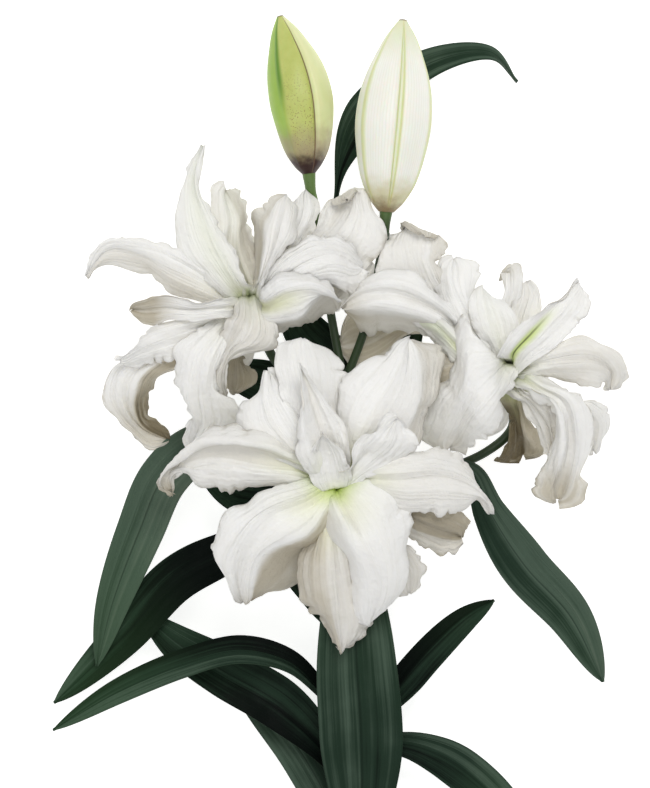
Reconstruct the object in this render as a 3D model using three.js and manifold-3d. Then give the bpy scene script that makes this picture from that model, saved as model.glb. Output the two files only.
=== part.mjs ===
// Cut flowering stem of a white double oriental lily, lying on its back.
//
// Three open double blooms, two closed buds and the leaves of the stem.
// Millimetres. +Z is up, off the surface it lies on. +Y runs along the stem to the buds.
// The blooms face up. The stem's cut end, a low petal of the left bloom and of the right bloom,
// and the tip of the top leaf touch the surface.

import * as THREE from 'three';
import Module from 'manifold-3d';
import { mergeVertices } from 'three/addons/utils/BufferGeometryUtils.js';

const wasm = await Module();
wasm.setup();

// Driving dimensions, mm
const GRID_STEP = 0.58;
const PLAN_LEVEL = 100;
const SIGHT_HEIGHT = 2600;
const PETAL_THICKNESS = 0.9;
const LEAF_THICKNESS = 1.0;
const STEM_RADIUS = 4.6;
const PEDICEL_RADIUS = 2.6;
const STEM_RADII = [STEM_RADIUS, 0.9 * STEM_RADIUS, 0.6 * STEM_RADIUS];
const PEDICEL_RADII = [PEDICEL_RADIUS, PEDICEL_RADIUS, 1.25 * PEDICEL_RADIUS];
const HEART_RADII = [4.5, 9, 5];
const HEART_DROP = 7;
const HEART_RISE = 17;
const FOOT_REACH = 2.5;
const CLAW_REACH = 3.4;
const FOOT_HALF = 2.5;
const CLAW_HALF = 8.5;
const FIT_GAP = 0.3;

// The plan grid's middle, in grid steps from its top left
const GRID_ACROSS = 325;
const GRID_DOWN = 394;

// How finely a blade's route is followed, and how many of those stations it keeps
const FINE_STATIONS = 48;
const LONG_PETAL_STATIONS = [0, 9, 18, 27, 36, 43, 48];
const PETAL_STATIONS = [0, 11, 22, 33, 42, 48];
const SHORT_PETAL_STATIONS = [0, 12, 24, 36, 48];
const HIDDEN_PETAL_STATIONS = [0, 16, 32, 48];
const LEAF_STATIONS = [0, 5, 11, 18, 25, 32, 38, 44, 48];
const SHORT_LEAF_STATIONS = [0, 9, 18, 28, 38, 48];
const BROAD_COLUMNS = 4;
const NARROW_COLUMNS = 2;
const BROAD_LEAF = 13;

// A petal's waves along its margins, how deep its middle line is sunk, and where its tip rounds off
const PETAL_WAVES = 2.2;
const PETAL_CREASE = 1.2;
const TIP_START = 0.93;

const UP = new THREE.Vector3(0, 0, 1);

// A point of the plan grid (steps across, steps down, height in mm), in mm.
// The plan is drawn as seen from SIGHT_HEIGHT above PLAN_LEVEL, so what is higher is drawn in.
function place([across, down, height]) {
  const step = GRID_STEP * (SIGHT_HEIGHT - height + PLAN_LEVEL) / SIGHT_HEIGHT;
  return new THREE.Vector3((across - GRID_ACROSS) * step, (GRID_DOWN - down) * step, height);
}

// A smooth curve through points, at evenly spaced stations with their directions
function follow(points, count) {
  const curve = new THREE.CatmullRomCurve3(points, false, 'centripetal');
  const stations = curve.getSpacedPoints(count);
  const directions = stations.map((_, i) => {
    const before = stations[Math.max(i - 1, 0)];
    const after = stations[Math.min(i + 1, count)];
    return after.clone().sub(before).normalize();
  });
  return { stations, directions };
}

// Side directions carried along a curve without turning about it
function carry(directions, first) {
  let side = first.clone();
  return directions.map((along) => {
    side = side.clone().addScaledVector(along, -side.dot(along)).normalize();
    return side;
  });
}

// A value that passes through three values at the root, the middle and the tip
function blend([root, middle, tip], t) {
  return root * (1 - t) * (1 - 2 * t) + middle * 4 * t * (1 - t) + tip * t * (2 * t - 1);
}

function smooth(t) {
  const clamped = Math.min(Math.max(t, 0), 1);
  return clamped * clamped * (3 - 2 * clamped);
}

// Half width of a blade along its length: a narrow claw, a full middle, a pointed or blunt tip
function halfWidth(shape, t) {
  const { half, claw, swell, blunt, narrow = 0 } = shape;
  const base = claw + (1 - claw) * smooth((t - narrow) / (swell - narrow));
  const beyond = Math.max(t - swell, 0) / (1 - swell);
  const taper = (1 - beyond ** (1.8 + 2.2 * blunt)) ** (0.85 - 0.35 * blunt);
  return Math.max(half * base * taper, 0.8);
}

// The middle surface of a blade at length t (0 root, 1 tip) and across s (-1 to 1),
// as offsets sideways and toward its upper face
function bladeSection(shape, t, s) {
  const width = halfWidth(shape, t);
  const bend = THREE.MathUtils.degToRad(blend(shape.cup, t));
  const turn = Math.abs(bend) < 0.01 ? 0.01 : bend;
  const sideways = width * Math.sin(turn * s) / turn;
  const rise = width * (1 - Math.cos(turn * s)) / turn;
  const wave = Math.sin(2 * Math.PI * (shape.waves * t + shape.phase + 0.3 * Math.sign(s)));
  const ruffle = shape.ruffle * smooth(t / 0.5) * Math.abs(s) ** 2 * wave;
  const groove = -shape.groove * smooth(t / 0.25) * Math.exp(-((s / 0.3) ** 2));
  return [sideways, rise + ruffle + groove];
}

// A thin closed blade along a route. The first side direction sets which way it faces.
function blade(points, firstSide, shape, kept, columns) {
  const { stations, directions } = follow(points, FINE_STATIONS);
  const sides = carry(directions, firstSide);
  const grid = [];
  kept.forEach((i) => {
    const t = i / FINE_STATIONS;
    const roll = THREE.MathUtils.degToRad(blend(shape.roll, t));
    const side = sides[i].clone().applyAxisAngle(directions[i], roll);
    const face = directions[i].clone().cross(side);
    const line = [];
    for (let column = 0; column <= columns; column += 1) {
      const [sideways, rise] = bladeSection(shape, t, 2 * column / columns - 1);
      line.push(stations[i].clone().addScaledVector(side, sideways).addScaledVector(face, rise));
    }
    grid.push(line);
  });
  return thicken(grid, shape.thickness / 2);
}

// Closes a grid of points into a sheet of even thickness, split alike on both faces
function thicken(grid, reach) {
  const rows = grid.length - 1;
  const columns = grid[0].length - 1;
  const faceAt = (row, column) => {
    const r = Math.min(row, rows - 1);
    const ahead = grid[Math.min(r + 1, rows)][column].clone().sub(grid[Math.max(r - 1, 0)][column]);
    const across = grid[r][Math.min(column + 1, columns)].clone().sub(grid[r][Math.max(column - 1, 0)]);
    return ahead.cross(across).normalize();
  };
  const top = [];
  const bottom = [];
  grid.forEach((line, row) => line.forEach((point, column) => {
    const face = faceAt(row, column);
    top.push(point.clone().addScaledVector(face, reach));
    bottom.push(point.clone().addScaledVector(face, -reach));
  }));
  const below = top.length;
  const at = (row, column) => row * (columns + 1) + column;
  const triangles = [];
  const quad = (a, b, c, d) => triangles.push(a, b, c, a, c, d);
  for (let row = 0; row < rows; row += 1) {
    for (let column = 0; column < columns; column += 1) {
      const corner = [at(row, column), at(row + 1, column), at(row + 1, column + 1), at(row, column + 1)];
      const [a, b, c, d] = corner;
      triangles.push(a, b, c, a, c, d);
      triangles.push(a + below, c + below, b + below, a + below, d + below, c + below);
    }
    quad(at(row, 0) + below, at(row + 1, 0) + below, at(row + 1, 0), at(row, 0));
    const last = columns;
    quad(at(row, last), at(row + 1, last), at(row + 1, last) + below, at(row, last) + below);
  }
  for (let column = 0; column < columns; column += 1) {
    quad(at(0, column), at(0, column + 1), at(0, column + 1) + below, at(0, column) + below);
    const tip = rows;
    quad(at(tip, column) + below, at(tip, column + 1) + below, at(tip, column + 1), at(tip, column));
  }
  return solidFrom([...top, ...bottom], triangles);
}

// A closed body from rings of points, each ring the same count, with flat ends
function loft(rings) {
  const sides = rings[0].length;
  const points = rings.flat();
  const triangles = [];
  for (let ring = 0; ring < rings.length - 1; ring += 1) {
    for (let side = 0; side < sides; side += 1) {
      const next = (side + 1) % sides;
      const a = ring * sides + side;
      const b = ring * sides + next;
      triangles.push(a, b, b + sides, a, b + sides, a + sides);
    }
  }
  const last = (rings.length - 1) * sides;
  for (let side = 1; side < sides - 1; side += 1) {
    triangles.push(0, side + 1, side);
    triangles.push(last, last + side, last + side + 1);
  }
  return solidFrom(points, triangles);
}

// A round rod along a route, with a radius that passes through three values
function rod(points, radii, count, sides) {
  const { stations, directions } = follow(points, count);
  const first = new THREE.Vector3(1, 0, 0);
  const across = carry(directions, first);
  const rings = stations.map((centre, i) => {
    const radius = blend(radii, i / count);
    const third = directions[i].clone().cross(across[i]);
    return Array.from({ length: sides }, (_, side) => {
      const angle = 2 * Math.PI * side / sides;
      return centre.clone()
        .addScaledVector(across[i], radius * Math.cos(angle))
        .addScaledVector(third, radius * Math.sin(angle));
    });
  });
  return loft(rings);
}

// A solid that can be joined and cut, from points and triangles
function solidFrom(points, triangles) {
  const vertProperties = new Float32Array(points.flatMap((point) => [point.x, point.y, point.z]));
  const mesh = new wasm.Mesh({ numProp: 3, vertProperties, triVerts: new Uint32Array(triangles) });
  return new wasm.Manifold(mesh);
}

// A solid from a three.js geometry
function solidOf(geometry) {
  const bare = geometry.clone();
  bare.deleteAttribute('normal');
  bare.deleteAttribute('uv');
  const merged = mergeVertices(bare, 1e-4);
  const vertProperties = new Float32Array(merged.attributes.position.array);
  const triVerts = new Uint32Array(merged.index.array);
  return new wasm.Manifold(new wasm.Mesh({ numProp: 3, vertProperties, triVerts }));
}

// Keeps the outer skin of the main body, so sealed hollows are filled and loose scraps dropped
function mainBody(solid) {
  return solid.decompose().reduce((best, body) => (body.volume() > best.volume() ? body : best));
}

function geometryOf(solid) {
  const { vertProperties, triVerts } = mainBody(solid).getMesh();
  const geometry = new THREE.BufferGeometry();
  geometry.setAttribute('position', new THREE.BufferAttribute(vertProperties.slice(), 3));
  geometry.setIndex(new THREE.BufferAttribute(triVerts.slice(), 1));
  const flat = geometry.toNonIndexed();
  flat.computeVertexNormals();
  return flat;
}

// Everything below the surface it lies on
const ground = new THREE.BoxGeometry(2000, 2000, 200);
ground.translate(0, 0, -100);
const belowSurface = solidOf(ground);

// Blooms
//
// A bloom has a heart, the direction it faces, and petals. A petal is drawn by the lines it has in the
// plan grid: its middle, its left and right margins as seen from its tip, and any folds halfway between.
// Its rise and reach say where it leaves the heart, its ruffle and phase how its margins wave.
// A hidden petal is a row of [rise, route, half width, cup at the middle, cup at the tip,
//  roll at the middle, roll at the tip, ruffle height, phase, bluntness], its angles in degrees.
const BLOOMS = {
  bloom_centre: {
    heart: [334, 482, 78],
    facing: [0, -0.06, 1],
    petals: [
      { rise: 26, ruffle: 0.4, phase: 0.1, reach: -2,
        middle: [[332, 474, 110], [328, 455, 118], [322, 433, 126]],
        left: [[310, 478, 110], [308, 456, 122], [320, 432, 128]],
        right: [[352, 474, 110], [345, 452, 122], [324, 432, 128]] },
      { rise: 24, ruffle: 0.6, phase: 0.3,
        middle: [[327, 455, 112], [319, 425, 120], [311, 396, 125], [299, 363, 126]],
        leftFold: [[313, 458, 120], [305, 431, 130], [303, 400, 134], [298, 363, 129]],
        left: [[304, 462, 116], [297, 437, 120], [300, 404, 121], [297, 362, 126]],
        right: [[350, 458, 118], [346, 432, 121], [324, 397, 126], [300, 363, 128]] },
      { rise: 18, ruffle: 1.2, phase: 0.6,
        middle: [[325, 448, 103], [316, 410, 110], [308, 370, 108], [303, 338, 98]],
        left: [[303, 450, 105], [287, 412, 110], [274, 366, 104], [277, 335, 94]],
        right: [[343, 448, 103], [346, 410, 104], [344, 372, 100], [329, 343, 93]] },
      { rise: 20, ruffle: 1, phase: 0.2,
        middle: [[308, 458, 108], [286, 428, 114], [272, 400, 110], [268, 371, 100]],
        left: [[298, 470, 107], [262, 452, 105], [234, 432, 97], [240, 411, 96], [259, 395, 97],
          [264, 376, 96]],
        right: [[320, 450, 104], [306, 416, 106], [290, 388, 102], [274, 368, 97]] },
      { rise: 20, ruffle: 1.2, phase: 0.4,
        middle: [[356, 453, 106], [382, 418, 114], [402, 384, 111], [410, 339, 98]],
        rightFold: [[370, 455, 107], [400, 436, 108], [420, 404, 106], [421, 374, 101], [413, 341, 96]],
        left: [[342, 458, 107], [337, 420, 110], [342, 380, 108], [374, 358, 104], [405, 336, 97]],
        right: [[380, 462, 98], [420, 442, 91], [431, 410, 89], [443, 380, 87], [441, 350, 85],
          [427, 346, 90]] },
      { rise: 24, ruffle: 1.4, phase: 0.8,
        middle: [[358, 468, 114], [374, 449, 122], [388, 432, 128], [398, 418, 130]],
        left: [[348, 468, 118], [356, 441, 122], [374, 427, 126], [391, 412, 128]],
        right: [[372, 474, 110], [398, 462, 112], [416, 447, 115], [407, 420, 126]] },
      { rise: 20, ruffle: 0.7, phase: 0.5,
        middle: [[365, 480, 109], [402, 482, 116], [440, 480, 111], [470, 487, 101], [486, 499, 95],
          [491, 514, 87]],
        left: [[362, 468, 108], [394, 459, 110], [430, 450, 106], [458, 456, 98], [477, 476, 92],
          [483, 496, 91], [495, 507, 86]],
        right: [[367, 496, 104], [405, 511, 104], [440, 511, 98], [462, 509, 90], [476, 500, 90],
          [482, 508, 87], [488, 522, 82]] },
      { rise: 14, ruffle: 1.4, phase: 0.1,
        middle: [[366, 500, 95], [400, 516, 96], [432, 530, 88], [462, 538, 74]],
        left: [[368, 490, 97], [408, 502, 98], [444, 507, 94], [466, 515, 84], [470, 530, 76]],
        right: [[366, 512, 90], [394, 534, 84], [418, 547, 74], [440, 553, 68], [460, 549, 68]] },
      { rise: 22, ruffle: 1.3, phase: 0.7,
        middle: [[345, 505, 112], [365, 542, 119], [379, 578, 113], [378, 602, 102], [370, 624, 84]],
        rightFold: [[334, 506, 112], [347, 532, 117], [356, 558, 113], [362, 584, 105], [363, 605, 95],
          [366, 625, 82]],
        left: [[366, 474, 106], [402, 486, 106], [409, 515, 103], [407, 550, 101], [405, 583, 94],
          [395, 600, 88], [380, 618, 80]],
        right: [[322, 508, 98], [331, 536, 94], [338, 558, 90], [348, 582, 88], [353, 604, 86],
          [362, 623, 80]] },
      { rise: 14, ruffle: 1, phase: 0.3,
        middle: [[362, 508, 92], [390, 545, 91], [406, 572, 83], [409, 594, 74]],
        left: [[374, 500, 92], [404, 538, 88], [421, 562, 78], [420, 594, 70]],
        right: [[352, 516, 88], [372, 558, 86], [384, 590, 76], [397, 603, 70]] },
      { rise: 18, ruffle: 1, phase: 0.9,
        middle: [[330, 516, 98], [332, 560, 100], [337, 606, 91], [342, 653, 74]],
        left: [[344, 520, 94], [354, 560, 93], [370, 596, 80], [377, 618, 73], [360, 640, 71],
          [346, 655, 70]],
        right: [[318, 522, 92], [301, 552, 88], [302, 586, 84], [313, 618, 78], [332, 647, 72],
          [340, 654, 71]] },
      { rise: 21, ruffle: 1.2, phase: 0.2, reach: 0.5,
        middle: [[312, 502, 108], [280, 519, 117], [252, 546, 112], [240, 576, 97], [244, 603, 80]],
        leftFold: [[326, 510, 108], [312, 531, 110], [288, 544, 110], [266, 558, 106], [256, 580, 95],
          [251, 603, 78]],
        left: [[338, 524, 82], [328, 548, 68], [309, 569, 59], [286, 586, 58], [268, 591, 62],
          [260, 598, 68], [259, 604, 72]],
        right: [[300, 480, 108], [262, 490, 112], [234, 508, 108], [222, 530, 102], [212, 555, 94],
          [228, 573, 92], [230, 590, 87], [232, 605, 78]] },
      { rise: 18, ruffle: 1.7, phase: 0.5,
        middle: [[302, 470, 106], [262, 460, 109], [226, 453, 104], [196, 457, 95], [175, 468, 90],
          [164, 482, 85], [170, 498, 78]],
        leftFold: [[302, 478, 107], [264, 474, 113], [232, 471, 108], [205, 469, 98], [184, 472, 93],
          [170, 484, 87], [172, 499, 77]],
        rightFold: [[303, 462, 110], [268, 448, 117], [232, 443, 113], [203, 443, 105], [184, 455, 99],
          [166, 470, 92], [160, 483, 86], [168, 498, 78]],
        left: [[302, 486, 101], [265, 487, 100], [238, 489, 93], [213, 482, 88], [192, 472, 87],
          [178, 479, 86], [176, 490, 82], [174, 500, 77]],
        right: [[303, 455, 104], [272, 437, 104], [238, 433, 102], [210, 430, 97], [194, 440, 93],
          [181, 452, 92], [167, 465, 89], [156, 480, 84], [166, 497, 77]] },
      [8, [[350, 458, 88], [372, 424, 84], [388, 396, 70]], 17, -10, -30, 0, 0, 1.5, 0.4, 0.4],
      [8, [[355, 510, 86], [376, 538, 80], [388, 566, 68]], 14, -10, -30, 0, 0, 1.5, 0.1, 0.4],
    ],
  },
  bloom_left: {
    heart: [257, 316, 50],
    facing: [-0.16, 0.34, 0.93],
    petals: [
      { rise: 20, ruffle: 0.6, phase: 0.2,
        middle: [[222, 292, 90], [180, 268, 99], [140, 252, 96], [108, 250, 89], [86, 276, 78]],
        left: [[226, 306, 86], [190, 300, 88], [162, 290, 86], [150, 277, 83], [128, 268, 80],
          [108, 263, 78], [92, 268, 76], [85, 279, 76]],
        right: [[222, 274, 92], [184, 254, 98], [158, 241, 94], [130, 238, 92], [106, 239, 86],
          [92, 252, 80], [83, 276, 76]] },
      { rise: 24, ruffle: 0.8, phase: 0.5,
        middle: [[232, 282, 97], [212, 248, 105], [198, 210, 104], [193, 180, 97], [203, 146, 84]],
        left: [[216, 290, 94], [188, 264, 97], [175, 236, 96], [178, 200, 94], [185, 170, 90],
          [201, 147, 83]],
        right: [[246, 282, 96], [236, 256, 98], [220, 226, 98], [206, 196, 94], [199, 168, 90],
          [204, 146, 83]] },
      { rise: 18, ruffle: 0.8, phase: 0.7, crease: 2.6,
        middle: [[246, 284, 86], [233, 250, 93], [233, 218, 90], [226, 188, 82]],
        rightFold: [[252, 284, 84], [243, 250, 90], [240, 218, 87], [230, 188, 80]],
        left: [[238, 280, 88], [220, 244, 90], [210, 214, 88], [210, 194, 81], [217, 180, 76]],
        right: [[256, 287, 70], [259, 252, 60], [251, 222, 58], [241, 201, 62], [229, 186, 71]] },
      { rise: 22, ruffle: 1, phase: 0.1,
        middle: [[258, 281, 97], [270, 248, 103], [278, 220, 99], [286, 194, 86]],
        leftFold: [[256, 282, 94], [264, 250, 99], [267, 224, 95], [274, 203, 89], [284, 193, 83]],
        left: [[250, 284, 78], [256, 252, 68], [254, 225, 64], [262, 202, 67], [280, 191, 76]],
        right: [[266, 282, 98], [284, 251, 98], [298, 226, 92], [298, 205, 85], [290, 193, 82]] },
      { rise: 16, ruffle: 1, phase: 0.4,
        middle: [[270, 285, 84], [290, 248, 87], [304, 215, 82], [307, 188, 70]],
        left: [[262, 284, 86], [278, 248, 88], [291, 213, 84], [294, 190, 74]],
        right: [[277, 292, 80], [302, 258, 80], [315, 225, 76], [317, 194, 66]] },
      { rise: 22, ruffle: 0.7, phase: 0.6,
        middle: [[268, 308, 97], [290, 298, 108], [314, 293, 107], [340, 302, 93]],
        rightFold: [[268, 320, 92], [286, 320, 97], [303, 316, 101], [315, 304, 101], [325, 293, 99],
          [339, 299, 92]],
        left: [[262, 294, 96], [280, 275, 100], [305, 271, 100], [328, 280, 96], [342, 300, 90]],
        right: [[268, 331, 72], [291, 332, 68], [313, 321, 66], [332, 312, 69], [343, 306, 80]] },
      { rise: 18, ruffle: 1.2, phase: 0.3,
        middle: [[270, 294, 92], [298, 268, 99], [332, 256, 96], [364, 268, 84]],
        left: [[262, 282, 92], [284, 252, 94], [312, 237, 92], [345, 242, 86], [371, 262, 80]],
        right: [[278, 308, 88], [308, 288, 92], [336, 288, 90], [357, 296, 80], [367, 282, 78]] },
      { rise: 22, ruffle: 0.5, phase: 0.2,
        middle: [[228, 308, 94], [196, 310, 98], [165, 309, 97], [144, 312, 90], [131, 310, 82]],
        left: [[226, 318, 94], [196, 320, 100], [170, 321, 98], [152, 326, 90], [134, 320, 82]],
        right: [[228, 298, 94], [198, 302, 104], [168, 294, 103], [148, 299, 96], [130, 303, 84]] },
      { rise: 16, ruffle: 1.2, phase: 0.3,
        middle: [[212, 326, 86], [180, 334, 95], [148, 345, 94], [120, 361, 80]],
        left: [[210, 342, 82], [188, 352, 87], [165, 357, 84], [142, 365, 78], [120, 371, 72]],
        right: [[212, 312, 88], [178, 320, 94], [145, 329, 90], [128, 352, 82], [112, 359, 74]] },
      { rise: 12, ruffle: 1.4, phase: 0.8,
        middle: [[202, 342, 78], [162, 356, 77], [132, 376, 70], [128, 406, 60], [144, 430, 50],
          [168, 440, 42]],
        left: [[206, 354, 74], [180, 368, 78], [163, 375, 74], [154, 390, 54], [149, 410, 46],
          [158, 428, 43], [172, 437, 40]],
        right: [[190, 330, 76], [142, 350, 72], [111, 370, 64], [108, 394, 54], [124, 423, 49],
          [148, 445, 43], [171, 446, 40]] },
      { rise: 18, ruffle: 1.4, phase: 0.5,
        middle: [[222, 332, 90], [204, 362, 97], [199, 396, 90], [202, 428, 76], [191, 448, 63]],
        left: [[234, 334, 88], [222, 364, 90], [224, 392, 82], [240, 412, 74], [236, 430, 68],
          [213, 435, 64], [197, 447, 62]],
        right: [[208, 322, 88], [180, 346, 92], [176, 382, 84], [188, 416, 74], [183, 438, 64],
          [184, 450, 60]] },
      { rise: 24, ruffle: 0.9, phase: 0.1, reach: -1.5,
        middle: [[252, 328, 98], [244, 342, 100], [229, 353, 96], [221, 374, 88], [226, 398, 73]],
        left: [[272, 324, 90], [277, 338, 89], [271, 349, 88], [250, 352, 92], [232, 361, 93],
          [226, 380, 86], [228, 397, 72]],
        right: [[232, 318, 94], [220, 332, 92], [215, 356, 86], [215, 382, 78], [225, 400, 70]] },
      { rise: 10, ruffle: 0.8, phase: 0.4, crease: 0,
        middle: [[244, 340, 74], [234, 366, 62], [236, 394, 54]],
        left: [[248, 345, 68], [241, 361, 60], [257, 373, 55], [255, 388, 50]],
        right: [[228, 342, 84], [219, 370, 80], [227, 397, 64]] },
      { rise: 14, ruffle: 1.4, phase: 0.6,
        middle: [[286, 296, 76], [314, 260, 84], [339, 231, 84], [351, 208, 78], [353, 191, 76],
          [348, 200, 86]],
        leftFold: [[280, 290, 78], [306, 254, 80], [328, 228, 77], [337, 212, 73], [343, 197, 70],
          [340, 206, 82]],
        left: [[272, 284, 76], [296, 250, 82], [316, 225, 82], [322, 209, 77], [330, 199, 72],
          [332, 208, 82]],
        right: [[294, 312, 72], [330, 288, 76], [372, 264, 77], [388, 238, 79], [382, 219, 80],
          [369, 208, 77], [359, 193, 74], [355, 203, 85]] },
      { rise: 10, ruffle: 1.2, phase: 0.2,
        middle: [[290, 312, 66], [325, 290, 72], [352, 274, 74], [374, 262, 70]],
        left: [[286, 298, 68], [318, 272, 72], [350, 250, 74], [380, 242, 70]],
        right: [[294, 326, 62], [328, 310, 66], [356, 296, 68], [374, 279, 66]] },
      [6, [[243, 300, 50], [222, 268, 28], [206, 238, -2]], 16, -10, -30, 0, 0, 1.2, 0.9, 0.4],
      [6, [[236, 342, 52], [216, 364, 42], [202, 388, 26]], 15, -10, -30, 0, 0, 1.2, 0.3, 0.4],
    ],
  },
  bloom_right: {
    heart: [510, 386, 52],
    facing: [-0.12, 0.5, 0.86],
    petals: [
      { rise: 22, ruffle: 0.8, phase: 0.3,
        middle: [[515, 353, 97], [534, 333, 103], [553, 312, 101], [578, 283, 86]],
        left: [[500, 352, 99], [519, 328, 107], [545, 308, 104], [568, 296, 95], [576, 272, 84]],
        right: [[530, 364, 94], [553, 350, 98], [571, 331, 95], [589, 309, 87], [588, 284, 81]] },
      { rise: 18, ruffle: 1, phase: 0.1,
        middle: [[535, 366, 88], [562, 360, 95], [594, 360, 91], [613, 374, 77], [610, 390, 66]],
        left: [[528, 352, 90], [556, 344, 94], [585, 333, 88], [608, 345, 80], [623, 366, 73],
          [619, 394, 62]],
        right: [[540, 378, 80], [562, 382, 80], [590, 382, 78], [604, 384, 70], [601, 393, 64]] },
      { rise: 12, ruffle: 1, phase: 0.5,
        middle: [[548, 398, 68], [574, 408, 70], [594, 424, 60], [594, 452, 44]],
        left: [[556, 386, 68], [584, 398, 68], [602, 403, 62], [609, 426, 50], [597, 454, 42]],
        right: [[544, 412, 66], [566, 428, 62], [584, 444, 52], [588, 456, 42]] },
      { rise: 18, ruffle: 1.5, phase: 0.7,
        middle: [[537, 386, 88], [563, 402, 94], [571, 440, 82], [565, 478, 67], [557, 502, 54]],
        leftFold: [[543, 384, 90], [570, 397, 95], [580, 436, 84], [576, 474, 69], [564, 504, 55]],
        rightFold: [[532, 390, 89], [554, 406, 92], [562, 438, 84], [556, 474, 70], [549, 499, 57]],
        left: [[550, 379, 84], [576, 392, 86], [587, 420, 72], [587, 458, 58], [583, 486, 50],
          [574, 507, 48]],
        right: [[528, 392, 84], [547, 406, 80], [553, 432, 72], [546, 466, 60], [536, 488, 53],
          [538, 502, 51]] },
      { rise: 14, ruffle: 0.9, phase: 0.2,
        middle: [[520, 396, 80], [534, 406, 77], [546, 424, 69], [553, 454, 55]],
        left: [[522, 389, 82], [542, 396, 81], [554, 412, 72], [561, 440, 60]],
        right: [[514, 402, 76], [525, 414, 70], [538, 430, 61], [550, 458, 52]] },
      { rise: 6, ruffle: 0.8, phase: 0.6,
        middle: [[518, 416, 60], [522, 434, 50], [522, 460, 32]],
        left: [[525, 412, 62], [540, 434, 52], [546, 456, 36]],
        right: [[510, 424, 56], [504, 444, 44], [491, 462, 30]] },
      { rise: 25, ruffle: 1.9, phase: 0.4, reach: -1.5,
        middle: [[496, 373, 101], [479, 390, 107], [461, 417, 96], [448, 450, 76]],
        rightFold: [[488, 356, 104], [470, 360, 109], [457, 392, 103], [446, 424, 86], [436, 449, 74]],
        left: [[508, 396, 92], [500, 416, 92], [485, 436, 84], [464, 456, 70]],
        right: [[490, 348, 99], [474, 333, 105], [463, 314, 101], [455, 328, 94], [451, 356, 86],
          [439, 388, 77], [427, 414, 71], [421, 438, 64], [428, 448, 66]] },
      { rise: 16, ruffle: 1.5, phase: 0.7,
        middle: [[484, 372, 82], [460, 374, 83], [438, 386, 71], [427, 412, 60]],
        left: [[488, 386, 80], [466, 398, 80], [448, 414, 70], [434, 432, 58]],
        right: [[480, 358, 82], [456, 350, 78], [431, 345, 68], [418, 372, 60], [421, 406, 54]] },
      { rise: 18, ruffle: 0.8, phase: 0.8,
        middle: [[486, 366, 88], [458, 350, 92], [436, 329, 90], [414, 317, 84]],
        left: [[484, 376, 84], [456, 364, 82], [434, 346, 78], [416, 331, 74]],
        right: [[490, 358, 90], [466, 340, 94], [446, 320, 92], [424, 306, 88]] },
      { rise: 16, ruffle: 0.9, phase: 0.1,
        middle: [[503, 352, 90], [496, 326, 95], [489, 302, 92], [483, 285, 84]],
        left: [[494, 354, 92], [474, 330, 97], [468, 304, 93], [475, 283, 83]],
        right: [[514, 346, 92], [520, 326, 96], [508, 304, 92], [492, 291, 83]] },
      { rise: 14, ruffle: 1.1, phase: 0.4,
        middle: [[516, 344, 84], [524, 316, 88], [530, 296, 83], [528, 280, 72]],
        left: [[508, 344, 86], [509, 318, 87], [513, 298, 82], [518, 281, 74]],
        right: [[526, 338, 86], [541, 318, 88], [540, 298, 80], [534, 284, 71]] },
      { rise: 12, ruffle: 0.6, phase: 0.9,
        middle: [[506, 344, 80], [506, 312, 84], [511, 290, 80], [510, 270, 74], [501, 277, 66]],
        left: [[500, 342, 80], [498, 312, 82], [502, 292, 78], [501, 273, 72], [497, 286, 64]],
        right: [[514, 340, 80], [516, 312, 82], [522, 286, 78], [518, 265, 72], [504, 265, 64]] },
      { rise: 18, ruffle: 1.3, phase: 0.6,
        middle: [[494, 352, 88], [470, 318, 96], [455, 284, 94], [454, 258, 84]],
        left: [[486, 358, 86], [452, 326, 90], [431, 290, 86], [434, 264, 80], [447, 250, 76]],
        right: [[502, 344, 88], [480, 312, 90], [473, 284, 86], [476, 266, 78], [466, 258, 76]] },
      { rise: 14, ruffle: 1.4, phase: 0.2,
        middle: [[470, 350, 78], [436, 306, 85], [417, 268, 86], [412, 243, 82], [417, 227, 79],
          [425, 236, 87]],
        left: [[464, 362, 76], [408, 318, 82], [377, 280, 84], [381, 252, 76], [388, 234, 72],
          [402, 226, 76], [408, 232, 82]],
        right: [[478, 342, 78], [452, 296, 83], [437, 266, 83], [447, 250, 78], [440, 236, 78],
          [438, 243, 86]] },
      { rise: 16, ruffle: 1.2, phase: 0.9,
        middle: [[475, 350, 82], [440, 316, 94], [398, 298, 101], [364, 299, 96], [341, 309, 87]],
        leftFold: [[472, 357, 80], [438, 325, 90], [403, 313, 98], [372, 308, 96], [345, 315, 86]],
        left: [[470, 362, 72], [436, 336, 68], [406, 333, 62], [374, 333, 60], [348, 327, 66]],
        right: [[480, 342, 82], [446, 298, 93], [406, 272, 95], [370, 275, 92], [343, 296, 88]] },
      { rise: 6, ruffle: 0.6, phase: 0.3,
        middle: [[470, 370, 58], [425, 327, 50], [398, 327, 47], [370, 338, 46], [340, 346, 47]],
        left: [[474, 380, 56], [430, 335, 48], [403, 337, 47], [388, 356, 46], [362, 370, 46],
          [343, 366, 47]],
        right: [[468, 360, 58], [424, 318, 50], [396, 314, 47], [360, 308, 47], [338, 318, 47]] },
      [6, [[528, 378, 50], [532, 342, 28], [528, 302, -2]], 16, -10, -30, 0, 0, 1.2, 0.6, 0.4],
      [6, [[492, 410, 46], [474, 421, 40], [460, 430, 30]], 13, -10, -30, 0, 0, 1.2, 0.1, 0.4],
    ],
  },
};

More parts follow.
